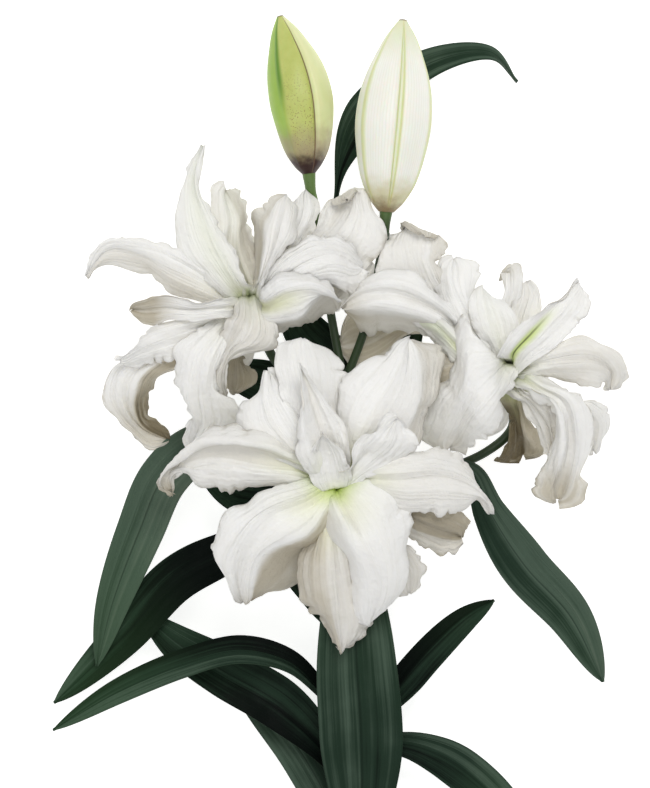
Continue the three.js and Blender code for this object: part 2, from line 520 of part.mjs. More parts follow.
// Where a petal starts inside its bloom's heart, where it leaves it, and its first side
function petalFoot(bloom, rise, outer, reach = CLAW_REACH) {
  const heart = place(bloom.heart);
  const facing = new THREE.Vector3(...bloom.facing).normalize();
  const radial = outer[1].clone().sub(heart);
  radial.addScaledVector(facing, -radial.dot(facing)).normalize();
  const foot = heart.clone().addScaledVector(facing, 0.4 * rise).addScaledVector(radial, FOOT_REACH);
  const claw = heart.clone().addScaledVector(facing, rise).addScaledVector(radial, reach);
  return { foot, claw, side: facing.clone().cross(radial) };
}

// The middle surface of a petal at the stations it keeps, five points across, from its drawn lines
function drawnGrid(bloom, petal, kept) {
  const { foot, claw, side } = petalFoot(bloom, petal.rise, petal.middle.map(place), petal.reach);
  const line = (points, way) => {
    const atFoot = foot.clone().addScaledVector(side, way * FOOT_HALF);
    const atClaw = claw.clone().addScaledVector(side, way * CLAW_HALF);
    return follow([atFoot, atClaw, ...points.map(place)], FINE_STATIONS).stations;
  };
  const middle = line(petal.middle, 0);
  const left = line(petal.left, 1);
  const right = line(petal.right, -1);
  const even = (near, far) => middle.map((point, i) => point.clone().multiplyScalar(0.75)
    .addScaledVector(near[i], 0.375).addScaledVector(far[i], -0.125));
  const leftFold = petal.leftFold ? line(petal.leftFold, 0.5) : even(left, right);
  const rightFold = petal.rightFold ? line(petal.rightFold, -0.5) : even(right, left);
  return kept.map((i) => {
    const beyond = Math.max(i / FINE_STATIONS - TIP_START, 0) / (1 - TIP_START);
    const rounded = Math.sqrt(Math.max(1 - beyond ** 2, 0.03));
    const lines = [right, rightFold, middle, leftFold, left];
    return lines.map((points) => middle[i].clone().lerp(points[i], rounded));
  });
}

// Waves a petal's margins and sinks its middle line, along its upper face
function ruffled(grid, petal, kept) {
  const rows = grid.length - 1;
  const columns = grid[0].length - 1;
  return grid.map((line, row) => line.map((point, column) => {
    const t = kept[row] / FINE_STATIONS;
    const s = 2 * column / columns - 1;
    const along = grid[Math.min(row + 1, rows)][column].clone().sub(grid[Math.max(row - 1, 0)][column]);
    const across = line[Math.min(column + 1, columns)].clone().sub(line[Math.max(column - 1, 0)]);
    const face = along.cross(across).normalize();
    const wave = Math.sin(2 * Math.PI * (PETAL_WAVES * t + petal.phase + 0.3 * Math.sign(s)));
    const groove = (petal.crease ?? PETAL_CREASE) * smooth(t / 0.25) * Math.exp(-((s / 0.3) ** 2));
    return point.clone().addScaledVector(face, petal.ruffle * smooth(t / 0.5) * s ** 2 * wave - groove);
  }));
}

function drawnPetal(bloom, petal) {
  const points = petal.middle.length;
  const usual = points > 3 ? PETAL_STATIONS : SHORT_PETAL_STATIONS;
  const kept = points > 4 ? LONG_PETAL_STATIONS : usual;
  return thicken(ruffled(drawnGrid(bloom, petal, kept), petal, kept), PETAL_THICKNESS / 2);
}

function hiddenPetal(bloom, row) {
  const [rise, route, half, cupMiddle, cupTip, rollMiddle, rollTip, ruffle, phase, blunt] = row;
  const outer = route.map(place);
  const { foot, claw, side } = petalFoot(bloom, rise, outer);
  const shape = {
    half,
    claw: 0.28,
    swell: 0.4,
    blunt,
    cup: [50, cupMiddle, cupTip],
    roll: [0, rollMiddle, rollTip],
    ruffle,
    phase,
    waves: PETAL_WAVES,
    groove: PETAL_CREASE,
    thickness: PETAL_THICKNESS,
  };
  return blade([foot, claw, ...outer], side, shape, HIDDEN_PETAL_STATIONS, BROAD_COLUMNS);
}

// The heart that a bloom's petals grow from, a short barrel along the way the bloom faces
function heartSolid(bloom, gap = 0) {
  const heart = place(bloom.heart);
  const facing = new THREE.Vector3(...bloom.facing).normalize();
  const rises = [-HEART_DROP - gap, 0, HEART_RISE];
  const points = rises.map((rise) => heart.clone().addScaledVector(facing, rise));
  return rod(points, HEART_RADII.map((radius) => radius + gap), 4, 10);
}

function bloomSolid(bloom) {
  let solid = heartSolid(bloom);
  bloom.petals.forEach((row) => {
    solid = solid.add(Array.isArray(row) ? hiddenPetal(bloom, row) : drawnPetal(bloom, row));
  });
  return solid.subtract(belowSurface);
}

// Buds
//
// Each bud has a route from base to tip, its widest radius, and where its seams lie, in degrees.
const BUDS = {
  bud_green: { route: [[309, 174, 56], [300, 96, 58], [280, 16, 52]], radius: 18.5, seam: 56 },
  bud_white: { route: [[386, 212, 72], [394, 118, 74], [403, 20, 66]], radius: 22.5, seam: 38 },
};
const BUD_RINGS = 12;
const BUD_SIDES = 18;

// Bud radius along its length, as a share of its widest radius
const BUD_OUTLINE = [[0, 0.2], [0.06, 0.46], [0.17, 0.74], [0.32, 0.92], [0.45, 1],
  [0.58, 0.96], [0.69, 0.84], [0.79, 0.66], [0.9, 0.42], [1, 0.1]];

function budShare(t) {
  const next = Math.max(BUD_OUTLINE.findIndex(([at]) => at >= t), 1);
  const [fromAt, fromShare] = BUD_OUTLINE[next - 1];
  const [toAt, toShare] = BUD_OUTLINE[next];
  return fromShare + (toShare - fromShare) * (t - fromAt) / (toAt - fromAt);
}

function budSolid({ route, radius, seam }) {
  const { stations, directions } = follow(route.map(place), FINE_STATIONS);
  const across = carry(directions, new THREE.Vector3(1, 0, 0));
  const rings = [];
  for (let ring = 0; ring <= BUD_RINGS; ring += 1) {
    const i = ring * FINE_STATIONS / BUD_RINGS;
    const third = directions[i].clone().cross(across[i]);
    rings.push(Array.from({ length: BUD_SIDES }, (_, side) => {
      const degrees = 360 * side / BUD_SIDES;
      const fromSeam = ((degrees - seam + 60 + 720) % 120) - 60;
      const valley = 0.09 * Math.exp(-((fromSeam / 9) ** 2));
      const reach = radius * budShare(ring / BUD_RINGS) * (1 - valley);
      const angle = THREE.MathUtils.degToRad(degrees);
      return stations[i].clone()
        .addScaledVector(across[i], reach * Math.cos(angle))
        .addScaledVector(third, reach * Math.sin(angle));
    }));
  }
  return loft(rings);
}

// Stem with its flower stalks
const STEM_ROUTE = [[357, 964, 3.9], [357, 900, 12], [358, 820, 21], [357, 720, 33], [355, 620, 43],
  [350, 520, 51], [345, 430, 54], [344, 380, 54]];
const STALKS = {
  bloom_centre: [[350, 560, 48], [341, 512, 56]],
  bloom_left: [[347, 460, 53], [300, 392, 44], [270, 352, 36]],
  bloom_right: [[349, 500, 52], [420, 478, 44], [486, 452, 38], [512, 428, 36]],
  bud_green: [[344, 385, 54], [332, 320, 52], [320, 250, 52], [313, 200, 54]],
  bud_white: [[344, 385, 54], [366, 325, 56], [380, 262, 60], [385, 236, 66]],
};

// The last points of a stalk run straight up to what it carries
function stalkEnd(name) {
  if (BLOOMS[name]) {
    const facing = new THREE.Vector3(...BLOOMS[name].facing).normalize();
    const heart = place(BLOOMS[name].heart);
    return [12, 0].map((back) => heart.clone().addScaledVector(facing, -HEART_DROP - back));
  }
  const [base, middle] = BUDS[name].route.map(place);
  const back = base.clone().sub(middle).normalize();
  return [12, 3 * FIT_GAP].map((reach) => base.clone().addScaledVector(back, reach));
}

// The stem and its stalks joined, fatter all round by gap
function stemRods(gap) {
  const grow = (radii) => radii.map((radius) => radius + gap);
  let solid = rod(STEM_ROUTE.map(place), grow(STEM_RADII), 13, 10);
  Object.entries(STALKS).forEach(([name, route]) => {
    const points = [...route.map(place), ...stalkEnd(name)];
    solid = solid.add(rod(points, grow(PEDICEL_RADII), 9, 7));
  });
  return solid;
}

function stemSolid() {
  let solid = stemRods(0);
  Object.values(BLOOMS).forEach((bloom) => {
    solid = solid.subtract(heartSolid(bloom, FIT_GAP));
  });
  return solid.subtract(belowSurface);
}

// Leaves
//
// A leaf row is [route, half width, cup at root, middle and tip, roll at root, middle and tip,
//  wave height, phase, claw, length share that stays narrow, bluntness], with the last ones left out
//  where they are the usual ones. Each leaf clasps the stem or a stalk at its root.
const LEAVES = {
  leaf_top: [
    [[328, 268, 44], [335, 205, 37], [342, 163, 32], [356, 130, 29], [388, 90, 26], [440, 59, 32],
      [490, 53, 24], [517, 82, 0]],
    13, [30, 15, 10], [60, 0, 0], 0.8, 0.3, 0.12, 0.2, -0.25],
  leaf_left_upper: [
    [[342, 440, 44], [270, 436, 34], [200, 446, 36], [163, 478, 42], [140, 530, 42], [113, 602, 38],
      [97, 666, 26]],
    15, [30, 20, 15], [0, 0, 0], 1, 0.1],
  leaf_left_middle: [
    [[346, 522, 44], [290, 528, 40], [225, 553, 38], [175, 580, 34], [126, 634, 26], [85, 674, 22],
      [54, 703, 14]],
    14, [30, 20, 10], [0, 0, 0], 1, 0.6],
  leaf_left_low: [
    [[356, 738, 32], [318, 688, 42], [288, 662, 48], [240, 651, 50], [185, 664, 44], [120, 691, 32],
      [53, 730, 18]],
    10, [35, 25, 15], [40, 35, 10], 0.8, 0.2],
  leaf_left_base: [
    [[356, 792, 24], [322, 744, 32], [280, 704, 36], [225, 672, 32], [180, 645, 27], [140, 612, 18]],
    16, [30, 20, 10], [0, 0, 0], 1, 0.8],
  leaf_bottom_left: [
    [[357, 868, 15], [328, 800, 20], [298, 748, 22], [262, 706, 18], [226, 670, 10]],
    14, [30, 15, 10], [0, 0, 0], 0.8, 0.4],
  leaf_front: [
    [[357, 890, 20], [362, 800, 38], [361, 730, 50], [357, 670, 60], [354, 600, 66], [351, 560, 66],
      [350, 524, 63]],
    25, [30, 14, 20], [0, 0, 0], 0.8, 0.7, 0.35],
  leaf_right_upper: [
    [[452, 466, 42], [474, 474, 44], [490, 512, 46], [525, 566, 42], [570, 616, 34], [603, 682, 20]],
    15, [30, 20, 20], [0, 0, 0], 1, 0.5],
  leaf_right_low: [
    [[358, 738, 34], [392, 696, 42], [430, 652, 44], [464, 620, 42], [494, 600, 34]],
    10.5, [35, 20, 10], [0, 10, 0], 0.8, 0.1],
  leaf_right_base: [
    [[358, 756, 28], [398, 744, 34], [440, 756, 32], [482, 786, 26], [520, 830, 18], [545, 874, 8]],
    13, [30, 15, 10], [0, 0, 0], 1, 0.9],
  leaf_behind_centre: [
    [[347, 502, 42], [290, 500, 34], [240, 496, 30], [200, 474, 26]],
    12, [30, 15, 10], [0, 0, 0], 0.8, 0.3],
  leaf_under_centre: [
    [[353, 650, 36], [326, 606, 36], [298, 574, 34], [268, 548, 30]],
    10, [30, 20, 10], [0, 0, 0], 0.6, 0.6],
  leaf_gap_upper: [
    [[344, 400, 44], [326, 356, 33], [304, 330, 27], [282, 296, 20]],
    14, [30, 15, 10], [0, 0, 0], 0.8, 0.2],
  leaf_gap_left: [
    [[341, 420, 40], [290, 392, 30], [250, 378, 24], [214, 370, 18]],
    14, [30, 15, 10], [0, 0, 0], 0.8, 0.7],
  leaf_gap_right: [
    [[346, 430, 44], [384, 386, 34], [405, 346, 28], [420, 300, 22]],
    10, [30, 15, 10], [0, 0, 0], 0.8, 0.4],
};

function leafSolid([route, half, cup, roll, ruffle, phase, claw = 0.35, narrow = 0, blunt = 0.3], clearance) {
  const points = route.map(place);
  const along = points[1].clone().sub(points[0]).normalize();
  const shape = {
    half,
    claw,
    narrow,
    swell: 0.45,
    blunt,
    cup,
    roll,
    ruffle,
    phase,
    waves: 1.6,
    groove: 0.8,
    thickness: LEAF_THICKNESS,
  };
  const kept = route.length > 4 ? LEAF_STATIONS : SHORT_LEAF_STATIONS;
  const columns = half < BROAD_LEAF ? NARROW_COLUMNS : BROAD_COLUMNS;
  const whole = blade(points, UP.clone().cross(along), shape, kept, columns);
  return whole.subtract(clearance).subtract(belowSurface);
}

// Looks of each kind of piece
const LOOKS = {
  petal: { color: 0xf3f1ea, roughness: 0.55, metalness: 0 },
  leaf: { color: 0x24382c, roughness: 0.5, metalness: 0 },
  stem: { color: 0x4c6b36, roughness: 0.55, metalness: 0 },
  greenBud: { color: 0xaab65c, roughness: 0.5, metalness: 0 },
  whiteBud: { color: 0xebead8, roughness: 0.5, metalness: 0 },
};

const group = new THREE.Group();

function addPiece(name, solid, look) {
  const mesh = new THREE.Mesh(geometryOf(solid), new THREE.MeshStandardMaterial(look));
  mesh.name = name;
  group.add(mesh);
}

addPiece('stem', stemSolid(), LOOKS.stem);
Object.entries(BLOOMS).forEach(([name, bloom]) => addPiece(name, bloomSolid(bloom), LOOKS.petal));
addPiece('bud_green', budSolid(BUDS.bud_green), LOOKS.greenBud);
addPiece('bud_white', budSolid(BUDS.bud_white), LOOKS.whiteBud);
const clearance = stemRods(2 * FIT_GAP);
Object.entries(LEAVES).forEach(([name, row]) => addPiece(name, leafSolid(row, clearance), LOOKS.leaf));

// The origin is under the middle of the whole, on the surface
const bounds = new THREE.Box3().setFromObject(group);
const middle = bounds.getCenter(new THREE.Vector3());
group.children.forEach((mesh) => {
  mesh.position.set(-middle.x, -middle.y, -bounds.min.z);
});
group.updateMatrixWorld(true);

export default group;
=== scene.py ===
"""A cut stem of white double oriental lily, laid on its back on a pale table.

Three open blooms, two buds, the stem and its leaves. Lengths are in millimetres until a mesh is made.
+Z is up, +Y runs along the stem to the buds, and the camera looks straight down.
"""

import math

import bpy
import numpy as np
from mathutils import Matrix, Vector


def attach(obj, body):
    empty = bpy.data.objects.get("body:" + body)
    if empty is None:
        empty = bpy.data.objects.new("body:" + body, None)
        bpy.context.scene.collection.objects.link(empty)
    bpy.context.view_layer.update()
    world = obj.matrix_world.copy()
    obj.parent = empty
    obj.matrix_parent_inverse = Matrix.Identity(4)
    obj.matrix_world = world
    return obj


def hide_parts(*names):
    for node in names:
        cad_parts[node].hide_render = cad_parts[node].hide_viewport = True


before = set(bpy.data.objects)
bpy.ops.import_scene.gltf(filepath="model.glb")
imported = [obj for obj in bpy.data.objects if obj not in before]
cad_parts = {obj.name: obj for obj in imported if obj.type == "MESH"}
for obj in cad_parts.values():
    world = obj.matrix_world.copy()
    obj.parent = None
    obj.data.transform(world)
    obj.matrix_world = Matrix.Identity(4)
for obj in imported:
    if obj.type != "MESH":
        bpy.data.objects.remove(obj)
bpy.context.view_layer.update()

# The plan grid that every route is drawn on, as the camera sees it
GRID_STEP = 0.58
PLAN_LEVEL = 100
SIGHT_HEIGHT = 2600
GRID_MIDDLE = (325, 394)
PLAN_SHIFT = np.array([-6.304, 59.963, 0.0])
METRES = 0.001
TABLE_GAP = 0.2

PETAL_ROWS = 72
PETAL_COLUMNS = 36
PETAL_THICKNESS = 0.9
THINNEST_HALF = 0.12
NARROWEST_HALF = 0.8
LEAF_ROWS = 100
LEAF_COLUMNS = 36
LEAF_THICKNESS = 0.8


# Curves and surfaces

def place(point):
    """A point of the plan grid (steps across, steps down, height in mm), in mm"""
    across, down, height = point
    step = GRID_STEP * (SIGHT_HEIGHT - height + PLAN_LEVEL) / SIGHT_HEIGHT
    return np.array([(across - GRID_MIDDLE[0]) * step, (GRID_MIDDLE[1] - down) * step, height])


def unit(vectors):
    return vectors / np.maximum(np.linalg.norm(vectors, axis=-1, keepdims=True), 1e-9)


def smooth(t):
    clamped = np.clip(t, 0, 1)
    return clamped * clamped * (3 - 2 * clamped)


def hump(value, reach):
    """1 at 0 and falling away on both sides"""
    return np.exp(-((value / reach) ** 2))


def wave(turns):
    return np.sin(2 * np.pi * turns)


def blend(values, t):
    """A value that passes through three values at the root, the middle and the tip"""
    root, middle, tip = values
    return root * (1 - t) * (1 - 2 * t) + middle * 4 * t * (1 - t) + tip * t * (2 * t - 1)


def curve_points(points, share):
    """Points of a smooth curve through given points, at shares of its knots from 0 to 1"""
    ends = np.vstack([2 * points[0] - points[1], points, 2 * points[-1] - points[-2]])
    gaps = np.maximum(np.linalg.norm(np.diff(ends, axis=0), axis=1) ** 0.5, 1e-4)
    knot = share * (len(points) - 1)
    index = np.minimum(knot.astype(int), len(points) - 2)
    weight = (knot - index)[:, None]
    p0, p1, p2, p3 = (ends[index + step] for step in range(4))
    d0, d1, d2 = (gaps[index + step][:, None] for step in range(3))
    leave = ((p1 - p0) / d0 - (p2 - p0) / (d0 + d1) + (p2 - p1) / d1) * d1
    arrive = ((p2 - p1) / d1 - (p3 - p1) / (d1 + d2) + (p3 - p2) / d2) * d1
    return between(p1, p2, leave, arrive, weight)


def between(first, last, leave, arrive, w):
    """A smooth step from one value to the next with given slopes at both, w running from 0 to 1"""
    square, cube = w ** 2, w ** 3
    return (first * (2 * cube - 3 * square + 1) + leave * (cube - 2 * square + w)
            + last * (3 * square - 2 * cube) + arrive * (cube - square))


def follow(points, count):
    """Evenly spaced stations of a smooth curve through points, with their directions"""
    points = np.asarray(points, float)
    share = np.linspace(0, 1, 401)
    fine = curve_points(points, share)
    length = np.concatenate([[0], np.cumsum(np.linalg.norm(np.diff(fine, axis=0), axis=1))])
    even = np.interp(np.linspace(0, length[-1], count + 1), length, share)
    stations = curve_points(points, even)
    return stations, unit(np.gradient(stations, axis=0))


def carry(directions, first):
    """Side directions carried along a curve without turning about it"""
    side = np.asarray(first, float)
    sides = []
    for along in directions:
        side = unit(side - along * side.dot(along))
        sides.append(side)
    return np.array(sides)


def shares(rows, columns):
    """Length shares from 0 to 1 down a grid, and width shares from -1 to 1 across it"""
    return np.linspace(0, 1, rows + 1)[:, None], np.linspace(-1, 1, columns + 1)[None, :]


def upward(grid):
    """The direction that each point of a grid faces"""
    return unit(np.cross(np.gradient(grid, axis=0), np.gradient(grid, axis=1)))


def closed_sheet(grid, reach):
    """A closed body round a grid of points: corners, faces, and 1 for each corner on the upper side"""
    face = upward(grid) * reach[..., None]
    corners = np.concatenate([(grid + face).reshape(-1, 3), (grid - face).reshape(-1, 3)])
    count = grid.shape[0] * grid.shape[1]
    index = np.arange(count).reshape(grid.shape[:2])
    top = np.stack([index[:-1, :-1], index[1:, :-1], index[1:, 1:], index[:-1, 1:]], -1).reshape(-1, 4)
    faces = [top, (top + count)[:, ::-1]]
    for rim in (index[::-1, 0], index[:, -1], index[0], index[-1, ::-1]):
        faces.append(np.stack([rim[:-1], rim[1:], rim[1:] + count, rim[:-1] + count], -1))
    return corners, np.concatenate(faces), np.repeat([1.0, 0.0], count)


def hollows(grid):
    """How far each point of a grid lies below its neighbours, toward the side that the grid faces"""
    wide = np.pad(grid, ((2, 2), (2, 2), (0, 0)), "edge")
    around = (wide[:-4, 2:-2] + wide[4:, 2:-2] + wide[2:-2, :-4] + wide[2:-2, 4:]) / 4
    depth = np.einsum("ijk,ijk->ij", around - grid, upward(grid))
    depth[[0, -1]], depth[:, [0, -1]] = 0, 0
    return depth


def tube(stations, directions, radius, sides):
    """A closed body of rings round the stations of a curve, with a flat cap at each end"""
    across = carry(directions, [1, 0, 0])[:, None]
    third = np.cross(directions[:, None], across)
    angle = np.linspace(0, 2 * np.pi, sides, endpoint=False)[None, :, None]
    rings = stations[:, None] + radius[..., None] * (across * np.cos(angle) + third * np.sin(angle))
    index = np.arange(len(stations) * sides).reshape(-1, sides)
    turned = np.roll(index, -1, axis=1)
    walls = np.stack([index[:-1], turned[:-1], turned[1:], index[1:]], -1).reshape(-1, 4)
    return rings.reshape(-1, 3), walls.tolist() + [index[0][::-1].tolist(), index[-1].tolist()]


class Body:
    """Corners, faces and per-corner values of a piece that is put together from parts"""

    def __init__(self):
        self.corners, self.faces, self.values, self.count = [], [], {}, 0

    def add(self, corners, faces, **values):
        self.corners.append(corners)
        self.faces += [[int(i) + self.count for i in face] for face in faces]
        for name, value in values.items():
            parts = self.values.setdefault(name, [])
            parts.append((self.count, np.broadcast_to(value, len(corners))))
        self.count += len(corners)

    def make(self, name, material):
        """The finished mesh object, in metres, with its values as attributes"""
        corners = np.concatenate(self.corners) + PLAN_SHIFT
        corners[:, 2] = np.maximum(corners[:, 2], TABLE_GAP)
        mesh = bpy.data.meshes.new(name)
        mesh.from_pydata((corners * METRES).tolist(), [], self.faces)
        for value_name, parts in self.values.items():
            whole = np.zeros(self.count, np.float32)
            for start, part in parts:
                whole[start:start + len(part)] = part
            mesh.attributes.new(value_name, "FLOAT", "POINT").data.foreach_set("value", whole)
        mesh.polygons.foreach_set("use_smooth", np.ones(len(mesh.polygons), bool))
        mesh.materials.append(material)
        return link(name, mesh)


def link(name, data):
    """An object that is part of the scene"""
    made = bpy.data.objects.new(name, data)
    bpy.context.scene.collection.objects.link(made)
    return made


def hand_over(piece, node):
    """Lets a finished piece stand for its solid"""
    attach(piece, "root")
    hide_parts(node)


# Materials

# Places of the sockets of a Mix node that mixes colours
MIX_SHARE, MIX_FIRST, MIX_SECOND, MIX_RESULT = 0, 6, 7, 2
WHITE = (1.0, 1.0, 1.0, 1.0)


class Finish:
    """A material under construction, with short ways to add its nodes"""

    def __init__(self, name):
        self.material = bpy.data.materials.new(name)
        self.material.use_nodes = True
        self.tree = self.material.node_tree
        self.surface = self.tree.nodes["Principled BSDF"]

    def feed(self, node, key, value):
        if isinstance(value, bpy.types.NodeSocket):
            self.tree.links.new(value, node.inputs[key])
        else:
            node.inputs[key].default_value = value

    def node(self, kind, inputs=None, **settings):
        """A node with its inputs fed, each by a link or by a value"""
        made = self.tree.nodes.new(kind)
        for key, value in settings.items():
            setattr(made, key, value)
        for key, value in (inputs or {}).items():
            self.feed(made, key, value)
        return made

    def value(self, name):
        return self.node("ShaderNodeAttribute", attribute_name=name).outputs["Fac"]

    def math(self, operation, first, second=0.0):
        return self.node("ShaderNodeMath", {0: first, 1: second}, operation=operation).outputs[0]

    def times(self, first, *others):
        for other in others:
            first = self.math("MULTIPLY", first, other)
        return first

    def plus(self, first, *others):
        for other in others:
            first = self.math("ADD", first, other)
        return first

    def sway(self, noise, amount):
        """Noise brought round 0, as high as amount"""
        return self.times(self.math("SUBTRACT", noise, 0.5), amount)

    def fade(self, value, low, high, start=0.0, end=1.0):
        """A smooth step of a value, from start at low to end at high"""
        inputs = {"Value": value, "From Min": low, "From Max": high, "To Min": start, "To Max": end}
        return self.node("ShaderNodeMapRange", inputs, interpolation_type="SMOOTHSTEP").outputs["Result"]

    def fall(self, value, low, high):
        """A smooth step of a value, from 1 at low to 0 at high"""
        return self.fade(value, low, high, 1.0, 0.0)

    def near(self, value, centre, reach):
        """1 on a value, fading to 0 at a distance from it"""
        return self.fall(self.math("ABSOLUTE", self.math("SUBTRACT", value, centre)), 0.0, reach)

    def colour(self, value):
        return value if isinstance(value, bpy.types.NodeSocket) else (*value, 1.0)

    def mix(self, share, first, second):
        inputs = {MIX_SHARE: share, MIX_FIRST: self.colour(first), MIX_SECOND: self.colour(second)}
        return self.node("ShaderNodeMix", inputs, data_type="RGBA").outputs[MIX_RESULT]

    def paint(self, colour, *layers):
        """A colour with layers over it, each a share and a colour"""
        for share, layer in layers:
            colour = self.mix(share, colour, layer)
        return colour

    def where(self):
        """The place on the piece, in metres"""
        return self.node("ShaderNodeTexCoord").outputs["Object"]

    def noise(self, spot, scale, detail):
        inputs = {"Vector": spot, "Scale": scale, "Detail": detail}
        return self.node("ShaderNodeTexNoise", inputs).outputs["Fac"]

    def spots(self, scale, detail=2.0, stretch=(1, 1, 1)):
        """Soft noise from 0 to 1, with its scale per metre"""
        moved = self.node("ShaderNodeMapping", {"Vector": self.where(), "Scale": stretch})
        return self.noise(moved.outputs[0], scale, detail)

    def streaks(self, count, stretch, detail=2.0):
        """Soft noise drawn out along a blade, so many streaks from margin to margin"""
        across = self.times(self.value("across"), count / 2)
        along = self.times(self.value("along"), stretch)
        spot = self.node("ShaderNodeCombineXYZ", {0: across, 1: along, 2: self.value("seed")})
        return self.noise(spot.outputs[0], 1.0, detail)

    def bump(self, height, distance, strength):
        inputs = {"Height": height, "Distance": distance, "Strength": strength}
        self.feed(self.surface, "Normal", self.node("ShaderNodeBump", inputs).outputs[0])

    def finish(self, colour, roughness, **fixed):
        self.feed(self.surface, "Base Color", self.colour(colour))
        self.feed(self.surface, "Roughness", roughness)
        for key, value in fixed.items():
            self.surface.inputs[key.replace("_", " ")].default_value = value
        return self.material


# beige and brown are painted shade: beige on what is turned back or in shade, brown deep in shade
PETAL = {"underside": (0.84, 0.825, 0.775), "white": (0.912, 0.907, 0.885), "vein": (0.74, 0.72, 0.65),
         "cloud": (0.82, 0.79, 0.72), "cream": (0.60, 0.53, 0.40), "beige": (0.52, 0.475, 0.385),
         "brown": (0.13, 0.105, 0.06), "greenish": (0.74, 0.79, 0.58), "glow": (0.83, 0.86, 0.53),
         "throat": (0.46, 0.60, 0.10), "deep throat": (0.22, 0.32, 0.03), "pale lime": (0.66, 0.68, 0.30),
         "lime": (0.60, 0.71, 0.27), "crease": (0.18, 0.22, 0.08), "hollow": (0.56, 0.53, 0.46),
         "rim": (0.42, 0.38, 0.30)}


def petal_finish():
    """White petal: lime throat and faint wandering veins, with painted shade: a darker, beige underside,
    beige and brown on what is turned back or lies in shade, darker in hollows
    """
    f = Finish("white petal")
    along, upper, streak, tan, glow = (f.value(name) for name in ("along", "upper", "streak", "tan", "glow"))
    off_middle = f.math("ABSOLUTE", f.value("across"))
    near_middle = f.fade(off_middle, 0.0, 0.85, 1.0, 0.15)
    veins = f.streaks(22, 1.6, 3.0)
    # How strongly the painted shade shows, in broad streaks
    shade = f.fade(f.plus(f.streaks(9, 0.7), f.times(f.spots(60), 0.4)), 0.45, 0.85, 0.62, 1.05)
    band_width = f.fade(streak, 0.5, 1.0, 0.42, 0.38)
    band = f.times(f.fall(f.math("DIVIDE", off_middle, band_width), 0.1, 1.0), f.fall(along, 0.50, 0.82),
                   streak)
    crease = f.times(f.fall(off_middle, 0.02, 0.075), f.fall(along, 0.48, 0.75), f.fade(along, 0.16, 0.28),
                     f.fade(streak, 0.6, 1.0))
    rim = f.times(f.fade(off_middle, 0.86, 0.99), f.fade(f.spots(160, 3.0), 0.38, 0.62),
                  f.fade(along, 0.25, 0.5), f.value("rim"))
    body = f.paint(
        # Painted shade: the underside is painted darker and warmer, and by cream beige
        f.mix(upper, PETAL["underside"], PETAL["white"]),
        (f.fade(veins, 0.50, 0.72, 0.0, 0.20), PETAL["vein"]),
        (f.fade(f.spots(45, 3.0), 0.45, 0.75, 0.0, 0.12), PETAL["cloud"]),
        (f.times(f.value("cream"), f.math("SUBTRACT", 1.0, upper)), PETAL["cream"]),
        # Painted shade: beige on what is turned back or in shade, brown deep in shade
        (f.times(tan, shade), PETAL["beige"]),
        (f.fade(tan, 1.0, 2.0), PETAL["brown"]),
        (f.times(f.value("green"), near_middle), PETAL["greenish"]),
        (f.times(f.fall(along, 0.06, 0.52), near_middle, glow, 0.85), PETAL["glow"]),
        (f.times(f.fall(along, 0.07, 0.28), glow), PETAL["throat"]),
        (f.times(f.fall(along, 0.02, 0.11), f.fade(glow, 0.55, 1.0)), PETAL["deep throat"]),
        (band, f.mix(f.fade(streak, 0.5, 1.0), PETAL["pale lime"], PETAL["lime"])),
        (crease, PETAL["crease"]),
        # Painted shade, darker where the surface lies in a hollow
        (f.fade(f.value("hollow"), 0.03, 0.45, 0.0, 0.32), PETAL["hollow"]),
        (rim, PETAL["rim"]))
    f.bump(f.plus(veins, f.times(f.spots(230, 4.0), 0.8)), 0.0016, 0.8)
    return f.finish(body, f.fade(f.spots(120), 0.3, 0.7, 0.52, 0.66), Subsurface_Weight=0.2,
                    Subsurface_Radius=(1.0, 0.95, 0.8), Subsurface_Scale=0.002, Specular_IOR_Level=0.2)


# The paler leaf colours stand partly for painted sheen
LEAF = {"black": (0.001, 0.003, 0.002), "dark": (0.015, 0.032, 0.020), "grey-green": (0.068, 0.104, 0.076),
        "pale": (0.120, 0.160, 0.120), "fresh": (0.045, 0.105, 0.042), "midrib": (0.004, 0.010, 0.006),
        "underside": (0.045, 0.075, 0.045)}


def leaf_finish():
    """Dark blue-green leaf with irregular lengthwise streaks, from near black to a soft grey-green, the paler
    streaks partly painted sheen
    """
    f = Finish("dark leaf")
    fine = f.streaks(42, 2.2, 3.0)
    # Tone and painted sheen, with streaks and patches
    tone = f.plus(f.value("tone"), f.sway(f.streaks(7, 0.8), 1.3), f.sway(fine, 0.5),
                  f.sway(f.spots(28, 3.0), 0.5))
    body = f.paint(
        LEAF["black"],
        (f.fade(tone, 0.0, 0.5), LEAF["dark"]),
        (f.fade(tone, 0.5, 1.05), LEAF["grey-green"]),
        (f.fade(tone, 1.05, 1.7), LEAF["pale"]),
        (f.times(f.value("fresh"), f.fade(f.value("along"), 0.40, 0.95)), LEAF["fresh"]),
        (f.fade(f.math("ABSOLUTE", f.value("across")), 0.0, 0.06, 0.5, 0.0), LEAF["midrib"]),
        (f.math("SUBTRACT", 1.0, f.value("upper")), LEAF["underside"]))
    f.bump(f.plus(fine, f.times(f.spots(700), 0.3)), 0.0007, 0.6)
    return f.finish(body, f.fade(f.spots(90, 3.0), 0.3, 0.7, 0.46, 0.62), Specular_IOR_Level=0.06)


# The stem is painted dark as shade: dark and patch are its green in painted shade, by the buds its green
# where no shade is painted
STEM = {"dark": (0.014, 0.028, 0.011), "patch": (0.032, 0.060, 0.023), "by the buds": (0.105, 0.180, 0.050),
        "foot": (0.100, 0.150, 0.060), "pore": (0.030, 0.045, 0.018)}


